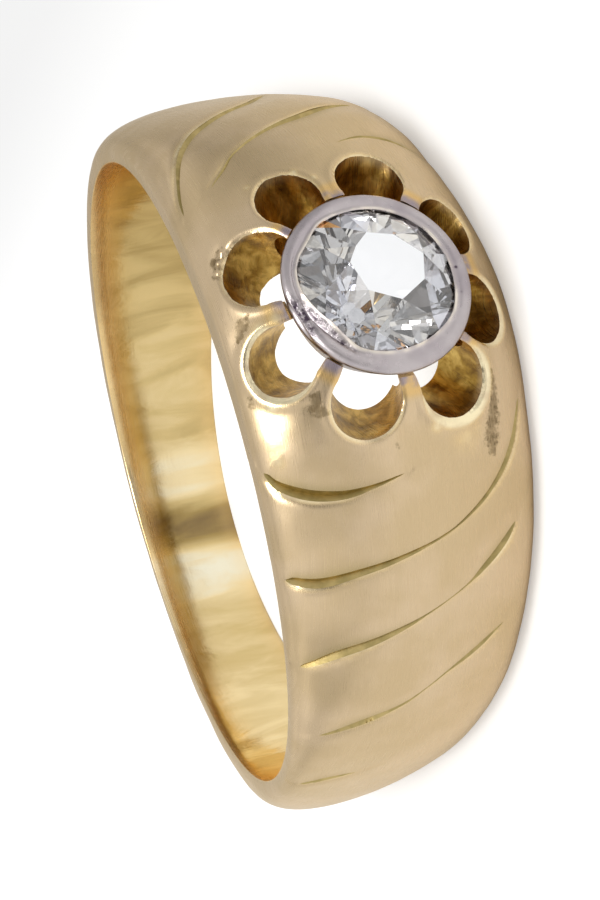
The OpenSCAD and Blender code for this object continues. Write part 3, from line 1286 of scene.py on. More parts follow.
    def make(self) -> Material:
        """Build the node material, which reads the band's wrap map and its wear attributes."""
        material, bench, shader = new_material("gold_satin")
        mark = self.read_marks(bench)
        height = self.relief(bench, mark)
        bump = bench.add("ShaderNodeBump", {"Strength": self.bump, "Distance": self.bump_m, "Height": height})
        finish = {
            "Base Color": self.tone(bench, mark),
            "Metallic": 1.0,
            "Roughness": self.rough(bench, mark),
            "Specular Tint": (*self.glint, 1.0),
            "Normal": bump.outputs["Normal"],
        }
        bench.fill(shader, finish)
        return material


@dataclass(frozen=True)
class GreyWhiteMetal:
    """Old white metal of the collet: soft grey-lilac polish with pits and a rough dent."""

    light: Colour = (0.54, 0.49, 0.495)
    shade: Colour = (0.43, 0.38, 0.40)
    stain: Colour = (0.085, 0.06, 0.085)
    cream: Colour = (0.95, 0.86, 0.74)
    bump: float = 0.5
    bump_m: float = 0.00002

    def make(self) -> Material:
        """Build the node material, which reads the lip's dents and its ridge."""
        material, bench, shader = new_material("white_metal_worn")
        place = bench.add("ShaderNodeTexCoord").outputs["Object"]
        cloud = bench.grain(place, 900.0, 3.0, 0.5)
        broken = bench.grain(place, 1500.0, 2.0, 0.5)
        fine = bench.grain(place, 5200.0, 4.0, 0.6)
        cells = bench.add("ShaderNodeTexVoronoi", {"Vector": place, "Scale": 2300.0}).outputs["Distance"]
        pits = bench.times(bench.span(cells, 0.05, 0.16, 1.0, 0.0), bench.span(cloud, 0.52, 0.64))
        dents = bench.span(bench.read("knocked").outputs["Fac"], 0.25, 0.9)
        dark = bench.math("MAXIMUM", bench.times(dents, bench.span(fine, 0.38, 0.6)), pits)
        ridge = bench.times(bench.read("ridge").outputs["Fac"], bench.span(broken, 0.38, 0.58, 0.15, 0.9))

        tone = bench.blend(bench.span(cloud, 0.35, 0.7), self.light, self.shade)
        tone = bench.blend(dark, tone, self.stain)
        height = bench.minus(bench.times(fine, 0.5), bench.times(dark, 1.4))
        bump = bench.add("ShaderNodeBump", {"Strength": self.bump, "Distance": self.bump_m, "Height": height})
        finish = {
            "Base Color": bench.blend(ridge, tone, self.cream),
            "Metallic": 1.0,
            "Roughness": bench.span(fine, 0.3, 0.7, 0.26, 0.38),
            "Normal": bump.outputs["Normal"],
        }
        bench.fill(shader, finish)
        return material


@dataclass(frozen=True)
class OldDiamond:
    """Clear diamond with faintly uneven facets and a bright table, with painted dark reflection on some
    facets and painted flashes of fire on others.
    """

    index: float = 2.42
    shade: Colour = (0.05, 0.035, 0.03)
    veil: Colour = (0.90, 0.92, 0.93)
    glare: Colour = (0.97, 0.98, 1.0)
    table_gloss: float = 0.95
    gloss_rough: float = 0.03
    flash: Stops = ((0.5, (0.91, 0.92, 1.0)), (1.0, (1.0, 0.50, 0.16)))
    facets: Stops = (
        (0.0, (0.20, 0.18, 0.19)),
        (0.18, (0.84, 0.88, 0.97)),
        (0.42, (0.97, 0.985, 1.0)),
        (0.76, (0.95, 0.89, 0.77)),
        (1.0, (1.0, 1.0, 1.0)),
    )

    def make(self) -> Material:
        """Build the node material, which reads each facet's values."""
        material, bench, shader = new_material("diamond_clear")
        place = bench.add("ShaderNodeTexCoord").outputs["Object"]
        # Painted fire: some facets are tinted orange or blue, in the glass and in the gloss.
        fire = bench.read("facet_painted_fire").outputs["Fac"]
        flash, flashing = bench.ramp(fire, self.flash), bench.span(fire, 0.1, 0.4)
        cloud = bench.span(bench.grain(place, 1400.0, 2.0, 0.5), 0.45, 0.7, 0.0, 0.25)

        tone = bench.ramp(bench.read("facet_lean").outputs["Fac"], self.facets)
        tone = bench.blend(cloud, tone, self.veil)
        # Painted dark reflection: facets with low painted brightness turn to the shade colour.
        tone = bench.blend(bench.read("facet_painted_brightness").outputs["Fac"], self.shade, tone)
        glass = {
            "Base Color": bench.blend(flashing, tone, flash),
            "Roughness": 0.0,
            "IOR": self.index,
            "Transmission Weight": 1.0,
        }
        bench.fill(shader, glass)
        polish = {
            "Base Color": bench.blend(flashing, self.glare, flash),
            "Metallic": 1.0,
            "Roughness": self.gloss_rough,
        }
        gloss = bench.add("ShaderNodeBsdfPrincipled", polish)
        share = bench.times(bench.read("table_share").outputs["Fac"], self.table_gloss)
        both = {0: share, 1: shader.outputs["BSDF"], 2: gloss.outputs["BSDF"]}
        mixed = bench.add("ShaderNodeMixShader", both)
        out = next(n for n in bench.tree.nodes if n.bl_idname == "ShaderNodeOutputMaterial")
        bench.fill(out, {"Surface": mixed.outputs[0]})
        return material


class PiercingTree:
    """The node tree that sets out the lobes, sweeps the graver and cuts the band."""

    def __init__(self) -> None:
        """Make the tree and its named inputs."""
        self.tree = bpy.data.node_groups.new("pierce_and_engrave", "GeometryNodeTree")
        self.bench = Bench(self.tree)
        face = self.tree.interface
        face.new_socket("Band", in_out="INPUT", socket_type="NodeSocketGeometry")
        for name in ("Lobe Places", "Lobe Cutter", "Seat Cutter", "Engraved Paths"):
            face.new_socket(name, in_out="INPUT", socket_type="NodeSocketObject")
        for name in ("Drill Wander", "Graver Depth", "Crease Angle"):
            face.new_socket(name, in_out="INPUT", socket_type="NodeSocketFloat")
        face.new_socket("Seed", in_out="INPUT", socket_type="NodeSocketInt")
        face.new_socket("Finish", in_out="INPUT", socket_type="NodeSocketMaterial")
        face.new_socket("Band", in_out="OUTPUT", socket_type="NodeSocketGeometry")
        self.inputs = self.bench.add("NodeGroupInput").outputs

    def named(self, name: str, kind: str = "FLOAT") -> Socket:
        """Return the value of a named attribute."""
        node = self.bench.add("GeometryNodeInputNamedAttribute", {"Name": name}, data_type=kind)
        return node.outputs["Attribute"]

    def store(self, geometry: Socket, name: str, value: Any, **settings: str) -> Socket:
        """Store a named attribute, and return the geometry that carries it."""
        inputs = {"Geometry": geometry, "Name": name, "Value": value}
        return self.bench.out("GeometryNodeStoreNamedAttribute", inputs, **settings)

    def mark(self, geometry: Socket, side: Side) -> Socket:
        """Store on each face which tool cut it."""
        return self.store(geometry, "cut_kind", float(side.value), data_type="FLOAT", domain="FACE")

    def shape_of(self, name: str) -> Socket:
        """Return the geometry of the object at one input."""
        return self.bench.add("GeometryNodeObjectInfo", {"Object": self.inputs[name]}).outputs["Geometry"]

    def wander(self, number: Socket) -> Socket:
        """Return how far each point of a cutter strays, from noise that differs from lobe to lobe.

        Args:
            number: The number of the point's lobe.

        Returns:
            The distance along the normal.
        """
        bench = self.bench
        seed = bench.plus(number, self.inputs["Seed"])
        shift = bench.add("ShaderNodeCombineXYZ", {"X": bench.times(seed, 7.3), "Y": bench.times(seed, 3.1)})
        spot = bench.vector("MULTIPLY", self.named("on_cutter", "FLOAT_VECTOR"), (1.0, 1.0, 0.22))
        spot = bench.vector("ADD", spot, shift.outputs[0])
        broad = bench.times(bench.minus(bench.grain(spot, 1.7, 2.0, 0.5), 0.5), 0.9)
        tight = bench.times(bench.minus(bench.grain(spot, 6.5, 3.0, 0.6), 0.5), 0.55)
        rough = bench.times(bench.plus(broad, tight), self.named("chips"))
        return bench.times(rough, self.inputs["Drill Wander"])

    def lobes(self, count: int) -> list[Socket]:
        """Set the lobe cutter out at each place, and let each drill wander a little.

        Args:
            count: Number of lobes.

        Returns:
            One cutter for each lobe.
        """
        bench = self.bench
        index = bench.out("GeometryNodeInputIndex")
        here = bench.out("GeometryNodeInputPosition")
        turn = bench.add("FunctionNodeEulerToRotation", {"Euler": self.named("drill_turn", "FLOAT_VECTOR")})
        inputs = {
            "Points": self.store(self.shape_of("Lobe Places"), "lobe_number", index, data_type="FLOAT"),
            "Instance": self.store(self.shape_of("Lobe Cutter"), "on_cutter", here, data_type="FLOAT_VECTOR"),
            "Rotation": turn.outputs[0],
            "Scale": self.named("drill_size", "FLOAT_VECTOR"),
        }
        set_out = bench.out("GeometryNodeInstanceOnPoints", inputs)
        made = bench.out("GeometryNodeRealizeInstances", {"Geometry": set_out})
        number = self.named("lobe_number")
        normal = bench.out("GeometryNodeInputNormal")
        stray = {0: normal, "Scale": self.wander(number)}
        push = bench.out("ShaderNodeVectorMath", stray, operation="SCALE")
        moved = bench.out("GeometryNodeSetPosition", {"Geometry": made, "Offset": push})
        marked = self.mark(moved, Side.LOBE)
        found = []
        for k in range(count):
            compared = {0: number, 1: float(k), "Epsilon": 0.1}
            same = bench.add("FunctionNodeCompare", compared, data_type="FLOAT", operation="EQUAL")
            chosen = {"Geometry": marked, "Selection": same.outputs[0]}
            part = bench.add("GeometryNodeSeparateGeometry", chosen, domain="POINT")
            found.append(part.outputs["Selection"])
        return found

    def graver(self) -> Socket:
        """Sweep a square graver along the engraved paths, standing on its corner."""
        bench = self.bench
        line = bench.out("GeometryNodeMeshToCurve", {"Mesh": self.shape_of("Engraved Paths")})
        facing = {"Curve": line, "Normal": self.named("outward", "FLOAT_VECTOR")}
        upright = bench.out("GeometryNodeSetCurveNormal", facing, mode="FREE")
        square = {"Resolution": 4, "Radius": 0.5}
        tool = bench.out("GeometryNodeCurvePrimitiveCircle", square, mode="RADIUS")
        size = bench.times(self.named("cut_width"), self.inputs["Graver Depth"])
        sweep = {"Curve": upright, "Profile Curve": tool, "Scale": size, "Fill Caps": True}
        return self.mark(bench.add("GeometryNodeCurveToMesh", sweep).outputs[0], Side.GRAVED)

    def build(self, count: int) -> bpy.types.NodeTree:
        """Join the cutters, cut the band and dress it.

        Args:
            count: Number of lobes.

        Returns:
            The finished tree.
        """
        bench = self.bench
        blank = {"Mesh 1": self.mark(self.inputs["Band"], Side.PLAIN)}
        seat = self.mark(self.shape_of("Seat Cutter"), Side.SEAT)
        cutters = [*self.lobes(count), seat, self.graver()]
        cut = bench.add("GeometryNodeMeshBoolean", blank, operation="DIFFERENCE", solver="MANIFOLD")
        for cutter in cutters:
            self.tree.links.new(cutter, cut.inputs["Mesh 2"])
        angles = bench.add("GeometryNodeInputMeshEdgeAngle").outputs["Unsigned Angle"]
        crease = {0: angles, 1: self.inputs["Crease Angle"]}
        sharp = bench.out("FunctionNodeCompare", crease, data_type="FLOAT", operation="GREATER_THAN")
        smooth = {"Geometry": cut.outputs["Mesh"], "Shade Smooth": True}
        faces = bench.out("GeometryNodeSetShadeSmooth", smooth, domain="FACE")
        creased = {"Geometry": faces, "Selection": sharp, "Shade Smooth": False}
        edges = bench.out("GeometryNodeSetShadeSmooth", creased, domain="EDGE")
        real = bench.out("GeometryNodeRealizeInstances", {"Geometry": edges})
        gold = {"Geometry": real, "Material": self.inputs["Finish"]}
        dressed = bench.out("GeometryNodeSetMaterial", gold)
        bench.add("NodeGroupOutput", {"Band": dressed})
        return self.tree


class CutBand:
    """The cut band's mesh, read once so that its wear can be marked on it.

    Args:
        mesh: The mesh, in millimetres in the ring's own frame.
        shape: The band's sizes.
    """

    def __init__(self, mesh: Mesh, shape: BandShape) -> None:
        """Read the mesh, and take off it what the tree stored about each face."""
        self.mesh = mesh
        self.spots = read_values(mesh.vertices, "co", 3)
        self.corners = read_values(mesh.loops, "vertex_index", kind=np.int32)
        self.normals = read_values(mesh.polygons, "normal", 3)
        self.centres = read_values(mesh.polygons, "center", 3)
        sizes = read_values(mesh.polygons, "loop_total", kind=np.int32)
        self.owner = np.repeat(np.arange(len(sizes)), sizes)
        layer = mesh.attributes["cut_kind"]
        self.kinds = np.rint(read_values(layer.data, "value")).astype(int)
        mesh.attributes.remove(layer)
        self.depth, self.angle, _ = shape.depth(self.spots)
        self.drilled = np.isin(self.kinds, (Side.LOBE.value, Side.SEAT.value))
        self.graved = self.kinds == Side.GRAVED.value
        self.skin = (self.kinds == Side.PLAIN.value)[self.owner]

    def put(self, name: str, values: Array) -> None:
        """Store the points' values on the skin's corners, and 0 on the cuts' corners."""
        put_values(self.mesh, name, values[self.corners] * self.skin, "CORNER")

    def put_walls(self) -> None:
        """Store which corners are drilled, and how deep, and which are graved."""
        deep = 0.35 + 0.65 * smooth_step(self.depth[self.corners], 0.03, 0.42)
        put_values(self.mesh, "lobe_depth", self.drilled[self.owner] * deep, "CORNER")
        put_values(self.mesh, "graved", self.graved[self.owner].astype(float), "CORNER")

    def sharpen(self) -> None:
        """Make every edge sharp where a cut meets the skin, however flat the lip is worn."""
        edges = read_values(self.mesh.loops, "edge_index", kind=np.int32)
        count = len(self.mesh.edges)
        highest, lowest = np.zeros(count, dtype=int), np.full(count, len(Side))
        np.maximum.at(highest, edges, self.kinds[self.owner])
        np.minimum.at(lowest, edges, self.kinds[self.owner])
        layers = self.mesh.attributes
        layer = layers.get("sharp_edge") or layers.new("sharp_edge", "BOOLEAN", "EDGE")
        layer.data.foreach_set("value", read_values(layer.data, "value", kind=bool) | (highest != lowest))

    def lay_wrap(self, radius: float) -> None:
        """Lay the wrap map, in millimetres round the band at a radius and across it."""
        along = np.radians(self.angle[self.corners])
        middle = np.arctan2(self.centres[:, 1], self.centres[:, 0])[self.owner]
        along += 2 * math.pi * np.rint((middle - along) / (2 * math.pi))
        wrap = np.stack([along * radius, self.spots[self.corners, 2]], axis=1)
        layer = self.mesh.uv_layers.new(name="band_wrap")
        layer.data.foreach_set("uv", wrap.astype(np.float32).ravel())


@dataclass(frozen=True)
class GoldBand:
    """The band: a worn blank that the lobes, the collet's seat and the engraving are cut into."""

    shape: BandShape = BandShape()
    lobes: LobeShape = LobeShape()
    engraving: Engraving = Engraving()
    mean_r: float = 11.6
    engraved_from: float = -90.0
    engraved_to: float = 53.0
    head_reach: float = 34.0
    head_step: float = 0.066
    engraved_step: float = 0.115
    shank_step: float = 0.34
    edge_round: float = 0.07
    drawn_counts: tuple[int, int, int, int] = (420, 60, 260, 60)
    eased_count: int = 1400
    crown_count: int = 148
    rim_count: int = 8
    finger_count: int = 36
    unevenness: float = 0.022
    drill_wander: float = 0.075
    crease: float = 34.0
    seed: int = 11
    bore_flare: float = 0.075
    flare_turn: float = 130.0
    seat_r: float = 2.59
    seat_x: float = 11.88
    seat_taper: float = 26.0
    seat_recess_x: float = 11.65
    seat_top_x: float = 13.6
    seat_steps: int = 160
    bead_r: float = 11.4
    wrap_r: float = 10.5
    painted_reflection_slant: float = 1.1
    # How bright the finger hole is, from 0 to 1, at angles from the stone: worn polish and tarnish, and bands
    # of painted reflection, bright and dark.
    polish: tuple[tuple[float, float], ...] = (
        (0, 0.45), (60, 0.40), (94, 0.28), (110, 0.36), (128, 0.50), (146, 0.58), (153, 0.54),
        (158, 0.80), (165, 0.86), (168, 0.45), (171, 0.12), (175, 0.20), (178, 0.86), (183, 1.00),
        (187, 0.88), (191, 0.66), (197, 0.58), (205, 0.62), (214, 0.72), (245, 0.74), (310, 0.62),
    )
    patches: tuple[BandSpot, ...] = (
        BandSpot(-10.8, 3.92, 0.18, 0.7), BandSpot(8.9, 3.76, 0.20, 0.5),
        BandSpot(-20.6, 0.55, 0.10, 0.5), BandSpot(30.0, -3.4, 0.50, 0.3),
    )
    streaks: Lines = (
        (
            (-12.8, -2.58, 0.07), (-15.4, -2.58, 0.12), (-17.5, -2.52, 0.18), (-20.2, -2.38, 0.24),
            (-23.0, -2.28, 0.22), (-24.8, -2.38, 0.14),
        ),
        ((-14.8, 2.20, 0.10), (-13.6, 2.55, 0.20), (-11.8, 2.36, 0.12)),
        ((-2.6, 3.86, 0.10), (-0.8, 3.72, 0.18), (0.6, 3.46, 0.12)),
    )
    # Painted highlights: bright spots laid into the colour where the lips and shoulders catch the light.
    painted_highlights: tuple[BandSpot, ...] = (
        BandSpot(-1.4, 2.95, 0.20, 0.7), BandSpot(-2.2, 3.35, 0.22, 0.9),
        BandSpot(-4.0, 3.60, 0.24, 1.0), BandSpot(-6.6, 3.66, 0.24, 1.0),
        BandSpot(-9.4, 3.62, 0.24, 1.0), BandSpot(-12.0, 3.54, 0.26, 1.0),
        BandSpot(-14.4, 3.60, 0.26, 1.0), BandSpot(-16.8, 3.66, 0.24, 0.9),
        BandSpot(-19.4, 3.68, 0.20, 0.7), BandSpot(17.8, 2.37, 0.07, 0.9),
        BandSpot(17.6, 1.05, 0.10, 0.9), BandSpot(15.9, 0.62, 0.10, 0.8),
        BandSpot(-12.2, -2.26, 0.09, 0.7), BandSpot(-14.2, -2.10, 0.11, 0.9),
        BandSpot(-16.2, -1.86, 0.14, 1.0), BandSpot(-17.9, -1.52, 0.17, 1.0),
        BandSpot(-19.0, -1.10, 0.18, 1.0), BandSpot(-19.2, -0.62, 0.14, 0.8),
        BandSpot(-21.4, -1.50, 0.34, 0.45), BandSpot(-20.7, -1.85, 0.20, 0.40),
    )
    beads: tuple[Bead, ...] = (
        Bead(10.5, 3.56, 0.20),
        Bead(9.5, 3.70, 0.24),
        Bead(8.3, 3.78, 0.20),
    )

    def angles(self) -> tuple[Array, int, int]:
        """Space the rings of the mesh, close together where there is detail.

        Returns:
            The rings' angles, and the numbers of the first and last ring of the head.
        """
        def spaced(start: float, end: float, step: float) -> Array:
            """Return angles from start up to, but not at, end, about a step in millimetres apart."""
            count = max(2, round(math.radians(end - start) * self.mean_r / step))
            return np.linspace(start, end, count, endpoint=False)

        reach = self.head_reach
        parts = [
            spaced(-180.0, self.engraved_from, self.shank_step),
            spaced(self.engraved_from, -reach, self.engraved_step),
            spaced(-reach, reach, self.head_step),
            spaced(reach, self.engraved_to, self.engraved_step),
            spaced(self.engraved_to, 180.0, self.shank_step),
        ]
        first = len(parts[0]) + len(parts[1])
        return np.concatenate(parts), first, first + len(parts[2])

    def outline(self, angle: float) -> tuple[Array, float]:
        """Draw the sharp section of the blank at one angle.

        Args:
            angle: Angle from the stone, in degrees.

        Returns:
            Points of radius and height, and half the finger hole's length there.
        """
        shape = self.shape
        crown_count, low_count, bore_count, high_count = self.drawn_counts
        u = np.sin(np.linspace(math.pi / 2, -math.pi / 2, crown_count))
        where = np.full_like(u, angle)
        crown_r = shape.outside_r(where, u)
        rim_r = float(crown_r[0])
        rim_half = float(shape.half_width(np.array(angle), np.array(rim_r)))
        bore_half = float(shape.half_width(np.array(angle), np.array(shape.finger_r)))
        crown = np.stack([crown_r, u * np.minimum(shape.half_width(where, crown_r), rim_half)], axis=1)
        low_rim = np.linspace((rim_r, -rim_half), (shape.finger_r, -bore_half), low_count)
        bore = np.linspace((shape.finger_r, -bore_half), (shape.finger_r, bore_half), bore_count)
        high_rim = np.linspace((shape.finger_r, bore_half), (rim_r, rim_half), high_count)
        return np.vstack([crown, low_rim[1:], bore[1:], high_rim[1:]]), bore_half

    def section(self, angle: float) -> Array:
        """Draw the closed section of the blank at one angle, with its corners worn round.

        Args:
            angle: Angle from the stone, in degrees.

        Returns:
            Points of radius and height: crown, lower rim, finger hole and upper rim.
        """
        loop, bore_half = self.outline(angle)
        lengths = lengths_along(loop)
        turns = np.cumsum(np.array(self.drawn_counts[:3]) - 1)
        corners = [0.0, *lengths[turns], lengths[-1]]
        grid = np.linspace(0.0, lengths[-1], self.eased_count, endpoint=False)
        flat = np.stack([np.interp(grid, lengths, loop[:, c]) for c in (0, 1)], axis=1)
        wave = np.fft.rfftfreq(self.eased_count, d=lengths[-1] / self.eased_count)
        ease = np.exp(-2.0 * (math.pi * wave * self.edge_round) ** 2)[:, None]
        worn = np.fft.irfft(np.fft.rfft(flat, axis=0) * ease, n=self.eased_count, axis=0)
        counts = (self.crown_count, self.rim_count, self.finger_count, self.rim_count)
        spans = zip(corners, corners[1:], counts)
        wanted = np.concatenate([np.linspace(start, end, n, endpoint=False) for start, end, n in spans])
        made = np.stack([np.interp(wanted, grid, worn[:, c], period=lengths[-1]) for c in (0, 1)], axis=1)
        hole = made[:, 0] < self.shape.finger_r + 0.1
        out = np.clip((np.abs(made[:, 1]) / bore_half - 0.3) / 0.7, 0.0, 1.0)
        facing = math.cos(math.radians(angle - self.flare_turn))
        wide = 0.2 + 0.8 * float(smooth_step(np.array(facing), -0.2, 0.7))
        made[:, 0] += hole * self.bore_flare * wide * out**2
        return made

    def lobe_wear(self, head: Array) -> Array:
        """Say how the lobes' mouths change the head's skin: a worn lip with a slight swelling round it.

        Args:
            head: Points of the head's outside.

        Returns:
            Height over the plain shape.
        """
        change = np.zeros(len(head))
        for row in self.lobes.rows:
            place, distance, outward = self.lobes.flat(row, head)
            width = row.lip * (0.30 + 0.70 * smooth_step(outward, -0.75, 0.35)) + 0.05
            share = np.clip(1.0 - np.maximum(distance, 0.0) / width, 0.0, 1.0)
            pillow = row.rub_and_highlight * smooth_step(outward, -0.6, 0.3)
            swell = bell(distance - 0.12 - 0.35 * pillow, 0.12 + 0.28 * pillow)
            lip = -0.46 * width * share**2.2 + (0.015 + 0.2 * pillow) * swell
            change += np.where(place[:, 0] > -1.5, lip, 0.0)
        return change

    def wear(self, points: Array) -> Array:
        """Say how far the outside stands proud or low at each point.

        Args:
            points: Points of the outside, in the ring's own frame.

        Returns:
            Height over the plain shape, mostly negative.
        """
        flat = points.reshape(-1, 3)
        low = np.zeros(len(flat))
        near = flat[:, 0] > 8.0
        low[near] += self.lobe_wear(flat[near])
        for bead in self.beads:
            far = self.distance(flat, bead, self.bead_r)
            low += 0.09 * bell(far, 0.45 * bead.width) - 0.055 * bell(far, 1.3 * bead.width)
        low -= self.engraving.sink(self.shape, flat)
        broad = np.array([noise.noise(Vector(p) * 0.55) for p in flat])
        tight = np.array([noise.noise(Vector(p) * 1.7) for p in flat])
        rough = broad * 0.9 + tight * 0.35 - 0.55
        return (low + self.unevenness * rough).reshape(points.shape[:-1])

    def blank(self) -> Thing:
        """Build the worn blank in millimetres in the ring's own frame, fine at the head and coarser behind.

        Returns:
            The blank's closed mesh.
        """
        angles, first, last = self.angles()
        sections = np.array([self.section(a) for a in angles])
        turn = np.radians(angles)[:, None]
        r, height = sections[..., 0], sections[..., 1]
        points = np.stack([r * np.cos(turn), r * np.sin(turn), height], axis=-1)
        across = np.roll(points, -1, axis=1) - np.roll(points, 1, axis=1)
        along = np.roll(points, -1, axis=0) - np.roll(points, 1, axis=0)
        normal = np.cross(across, along)
        normal /= np.linalg.norm(normal, axis=-1, keepdims=True)
        normal *= np.sign((normal * points * RADIAL).sum(axis=-1)[:, self.crown_count // 2].mean())
        crown = slice(1, self.crown_count)
        points[:, crown] += normal[:, crown] * self.wear(points[:, crown])[..., None]
        numbers = np.arange(len(angles))
        fine = (numbers >= first) & (numbers <= last)
        kept = np.zeros(points.shape[:2], dtype=bool)
        kept[fine] = True
        kept[:, ::2] = True
        thing = new_object("band_gold", points[kept], self.blank_faces(kept, fine))
        point_outwards(thing)
        return thing

    def blank_faces(self, kept: Array, fine: Array) -> Faces:
        """Join the blank's rings, where coarse rings have every second point of the fine ones.

        Args:
            kept: Which point of each ring is in the mesh.
            fine: Which rings have all their points.

        Returns:
            Vertex numbers of each face.
        """
        number = -np.ones(kept.shape, dtype=int)
        number[kept] = np.arange(kept.sum())
        rings, count = kept.shape
        faces: Faces = []
        for i in range(rings):
            here, there = number[i], number[(i + 1) % rings]
            start_fine, end_fine = fine[i], fine[(i + 1) % rings]
            step = 1 if start_fine and end_fine else 2
            for j in range(0, count, step):
                k = (j + step) % count
                if start_fine == end_fine:
                    faces.append((here[j], here[k], there[k], there[j]))
                    continue
                mid = here[j + 1] if start_fine else there[j + 1]
                faces.append((here[j], mid, there[j]))
                if start_fine:
                    faces += [(mid, there[k], there[j]), (mid, here[k], there[k])]
                else:
                    faces += [(here[j], here[k], mid), (here[k], there[k], mid)]
        return [tuple(int(v) for v in face) for face in faces]

    def seat_cutter(self) -> Thing:
        """Build the cutter of the collet's seat: a round recess over a taper."""
        fall = math.tan(math.radians(self.seat_taper))
        depth = self.seat_x - self.shape.finger_r + 0.5
        rows = [
            (self.seat_top_x, self.seat_r),
            (self.seat_recess_x, self.seat_r),
            (self.seat_recess_x, self.seat_r - (self.seat_x - self.seat_recess_x) * fall),
            (self.seat_x - depth, self.seat_r - depth * fall),
        ]
        turns = [2 * math.pi * k / self.seat_steps for k in range(self.seat_steps)]
        points = [(x, r * math.cos(turn), r * math.sin(turn)) for x, r in rows for turn in turns]
        thing = new_object("seat_cutter", np.array(points), ring_faces(len(rows), self.seat_steps))
        point_outwards(thing)
        return thing

    def cut(self, blank: Thing, finish: Material) -> None:
        """Pierce and engrave the blank with the node tree, and keep the result as a plain mesh.

        Args:
            blank: The worn blank.
            finish: The gold.
        """
        tools = {
            "Lobe Places": self.lobes.places(),
            "Lobe Cutter": self.lobes.cutter(),
            "Seat Cutter": self.seat_cutter(),
            "Engraved Paths": self.engraving.paths(self.shape),
        }
        values = {
            **tools,
            "Drill Wander": self.drill_wander,
            "Graver Depth": self.engraving.depth_share,
            "Crease Angle": math.radians(self.crease),
            "Seed": self.seed,
            "Finish": finish,
        }
        modifier = blank.modifiers.new("pierce_and_engrave", "NODES")
        modifier.node_group = PiercingTree().build(len(self.lobes.rows))
        for item in modifier.node_group.interface.items_tree:
            if item.in_out == "INPUT" and item.name in values:
                modifier[item.identifier] = values[item.name]
        blank.update_tag()
        seen = bpy.context.evaluated_depsgraph_get()
        worked = blank.evaluated_get(seen)
        made = bpy.data.meshes.new_from_object(worked, preserve_all_data_layers=True, depsgraph=seen)
        blank.modifiers.remove(modifier)
        before, blank.data = blank.data, made
        bpy.data.meshes.remove(before)
        made.name = "band_gold"
        triangulate(made)
        for tool in tools.values():
            mesh = tool.data
            bpy.data.objects.remove(tool)
            bpy.data.meshes.remove(mesh)
        LOG.info("cut band: %d vertices, %d faces", len(made.vertices), len(made.polygons))

    def distance(self, points: Array, spot: Bead | BandSpot, at_r: float) -> Array:
        """Return how far points lie from a spot on the outside."""
        return np.linalg.norm(points - self.shape.spot(spot.angle, spot.across, at_r), axis=1)

    def patched(self, points: Array, patches: tuple[BandSpot, ...]) -> Array:
        """Lay round patches over points.

        Args:
            points: Points in the ring's own frame.
            patches: Place, radius and strength of each patch.

        Returns:
            How strongly each point is covered.
        """
        found = np.zeros(len(points))
        for patch in patches:
            far = self.distance(points, patch, self.mean_r)
            found = np.maximum(found, patch.strength * bell(far, patch.radius))
        return found

    def mark_inside(self, cut: CutBand) -> None:
        """Mark the finger hole, the worn edges of it, which get a painted orange reflection, and its bands of
        polish, tarnish and painted reflection.

        Args:
            cut: The cut band.
        """
        flare = self.bore_flare
        radius = np.hypot(cut.centres[:, 0], cut.centres[:, 1])
        facing = (cut.normals * cut.centres * RADIAL).sum(axis=1) / radius
        inner = smooth_step(-facing, 0.5, 0.85) * (radius < self.shape.finger_r + flare + 0.12)
        met = np.bincount(cut.corners, weights=cut.skin.astype(float), minlength=len(cut.spots))
        shares = np.bincount(cut.corners, weights=inner[cut.owner] * cut.skin, minlength=len(cut.spots))
        cut.put("inside", shares / np.maximum(met, 1.0))
        x, y, z = cut.spots.T
        # Painted orange reflection on the flared edges of the finger hole, stronger on the upper rim.
        flared = smooth_step(np.hypot(x, y) - self.shape.finger_r, 0.004, 0.6 * flare)
        put_values(cut.mesh, "flared", flared * np.where(z > 0.0, 1.0, 0.3))
        # Bands of polish and tarnish, partly painted reflection, slanting across the finger hole.
        angles, shines = np.array(self.polish, dtype=float).T
        where = (cut.angle + self.painted_reflection_slant * z / self.shape.rim_mid) % 360.0
        put_values(cut.mesh, "polish", np.interp(where, angles, shines, period=360.0))

    def mark_lobes(self, cut: CutBand) -> Array:
        """Mark the ribs' stained tips, and the place of each point along the drill nearest to it.

        Args:
            cut: The cut band.

        Returns:
            How bright the lobes' lips are, worn and with painted highlight, at each point.
        """
        x, y, z = cut.spots.T
        from_axis = np.hypot(y, z)
        head = x > 9.0
        nearest = np.full(len(x), 9.0)
        rubbed_and_painted_highlight = np.zeros(len(x))
        place = np.zeros_like(cut.spots)
        for k, row in enumerate(self.lobes.rows):
            own, distance, outward = self.lobes.flat(row, cut.spots)
            closer = head & (np.abs(distance) < nearest)
            nearest[closer] = np.abs(distance)[closer]
            place[closer] = own[closer] + (5.0 * k, 0.0, 0.0)
            # Painted highlight on each lobe's lip, laid over its worn edge.
            width = 0.03 + row.rub_and_highlight * smooth_step(outward, -0.5, 0.5)
            strength = min(0.62 + 2.6 * row.rub_and_highlight, 1.0)
            lip = 1.0 - smooth_step(distance, 0.5 * width, 1.3 * width)
            rubbed_and_painted_highlight = np.maximum(rubbed_and_painted_highlight, strength * head * lip * (cut.depth < 0.34))
        put_values(cut.mesh, "drill_place", place)
        cut.put("solder", (x > 10.6) * (1.0 - smooth_step(from_axis, self.seat_r, self.seat_r + 0.75)))
        return rubbed_and_painted_highlight * (0.25 + 0.75 * smooth_step(from_axis, self.seat_r + 0.1, self.seat_r + 0.7))

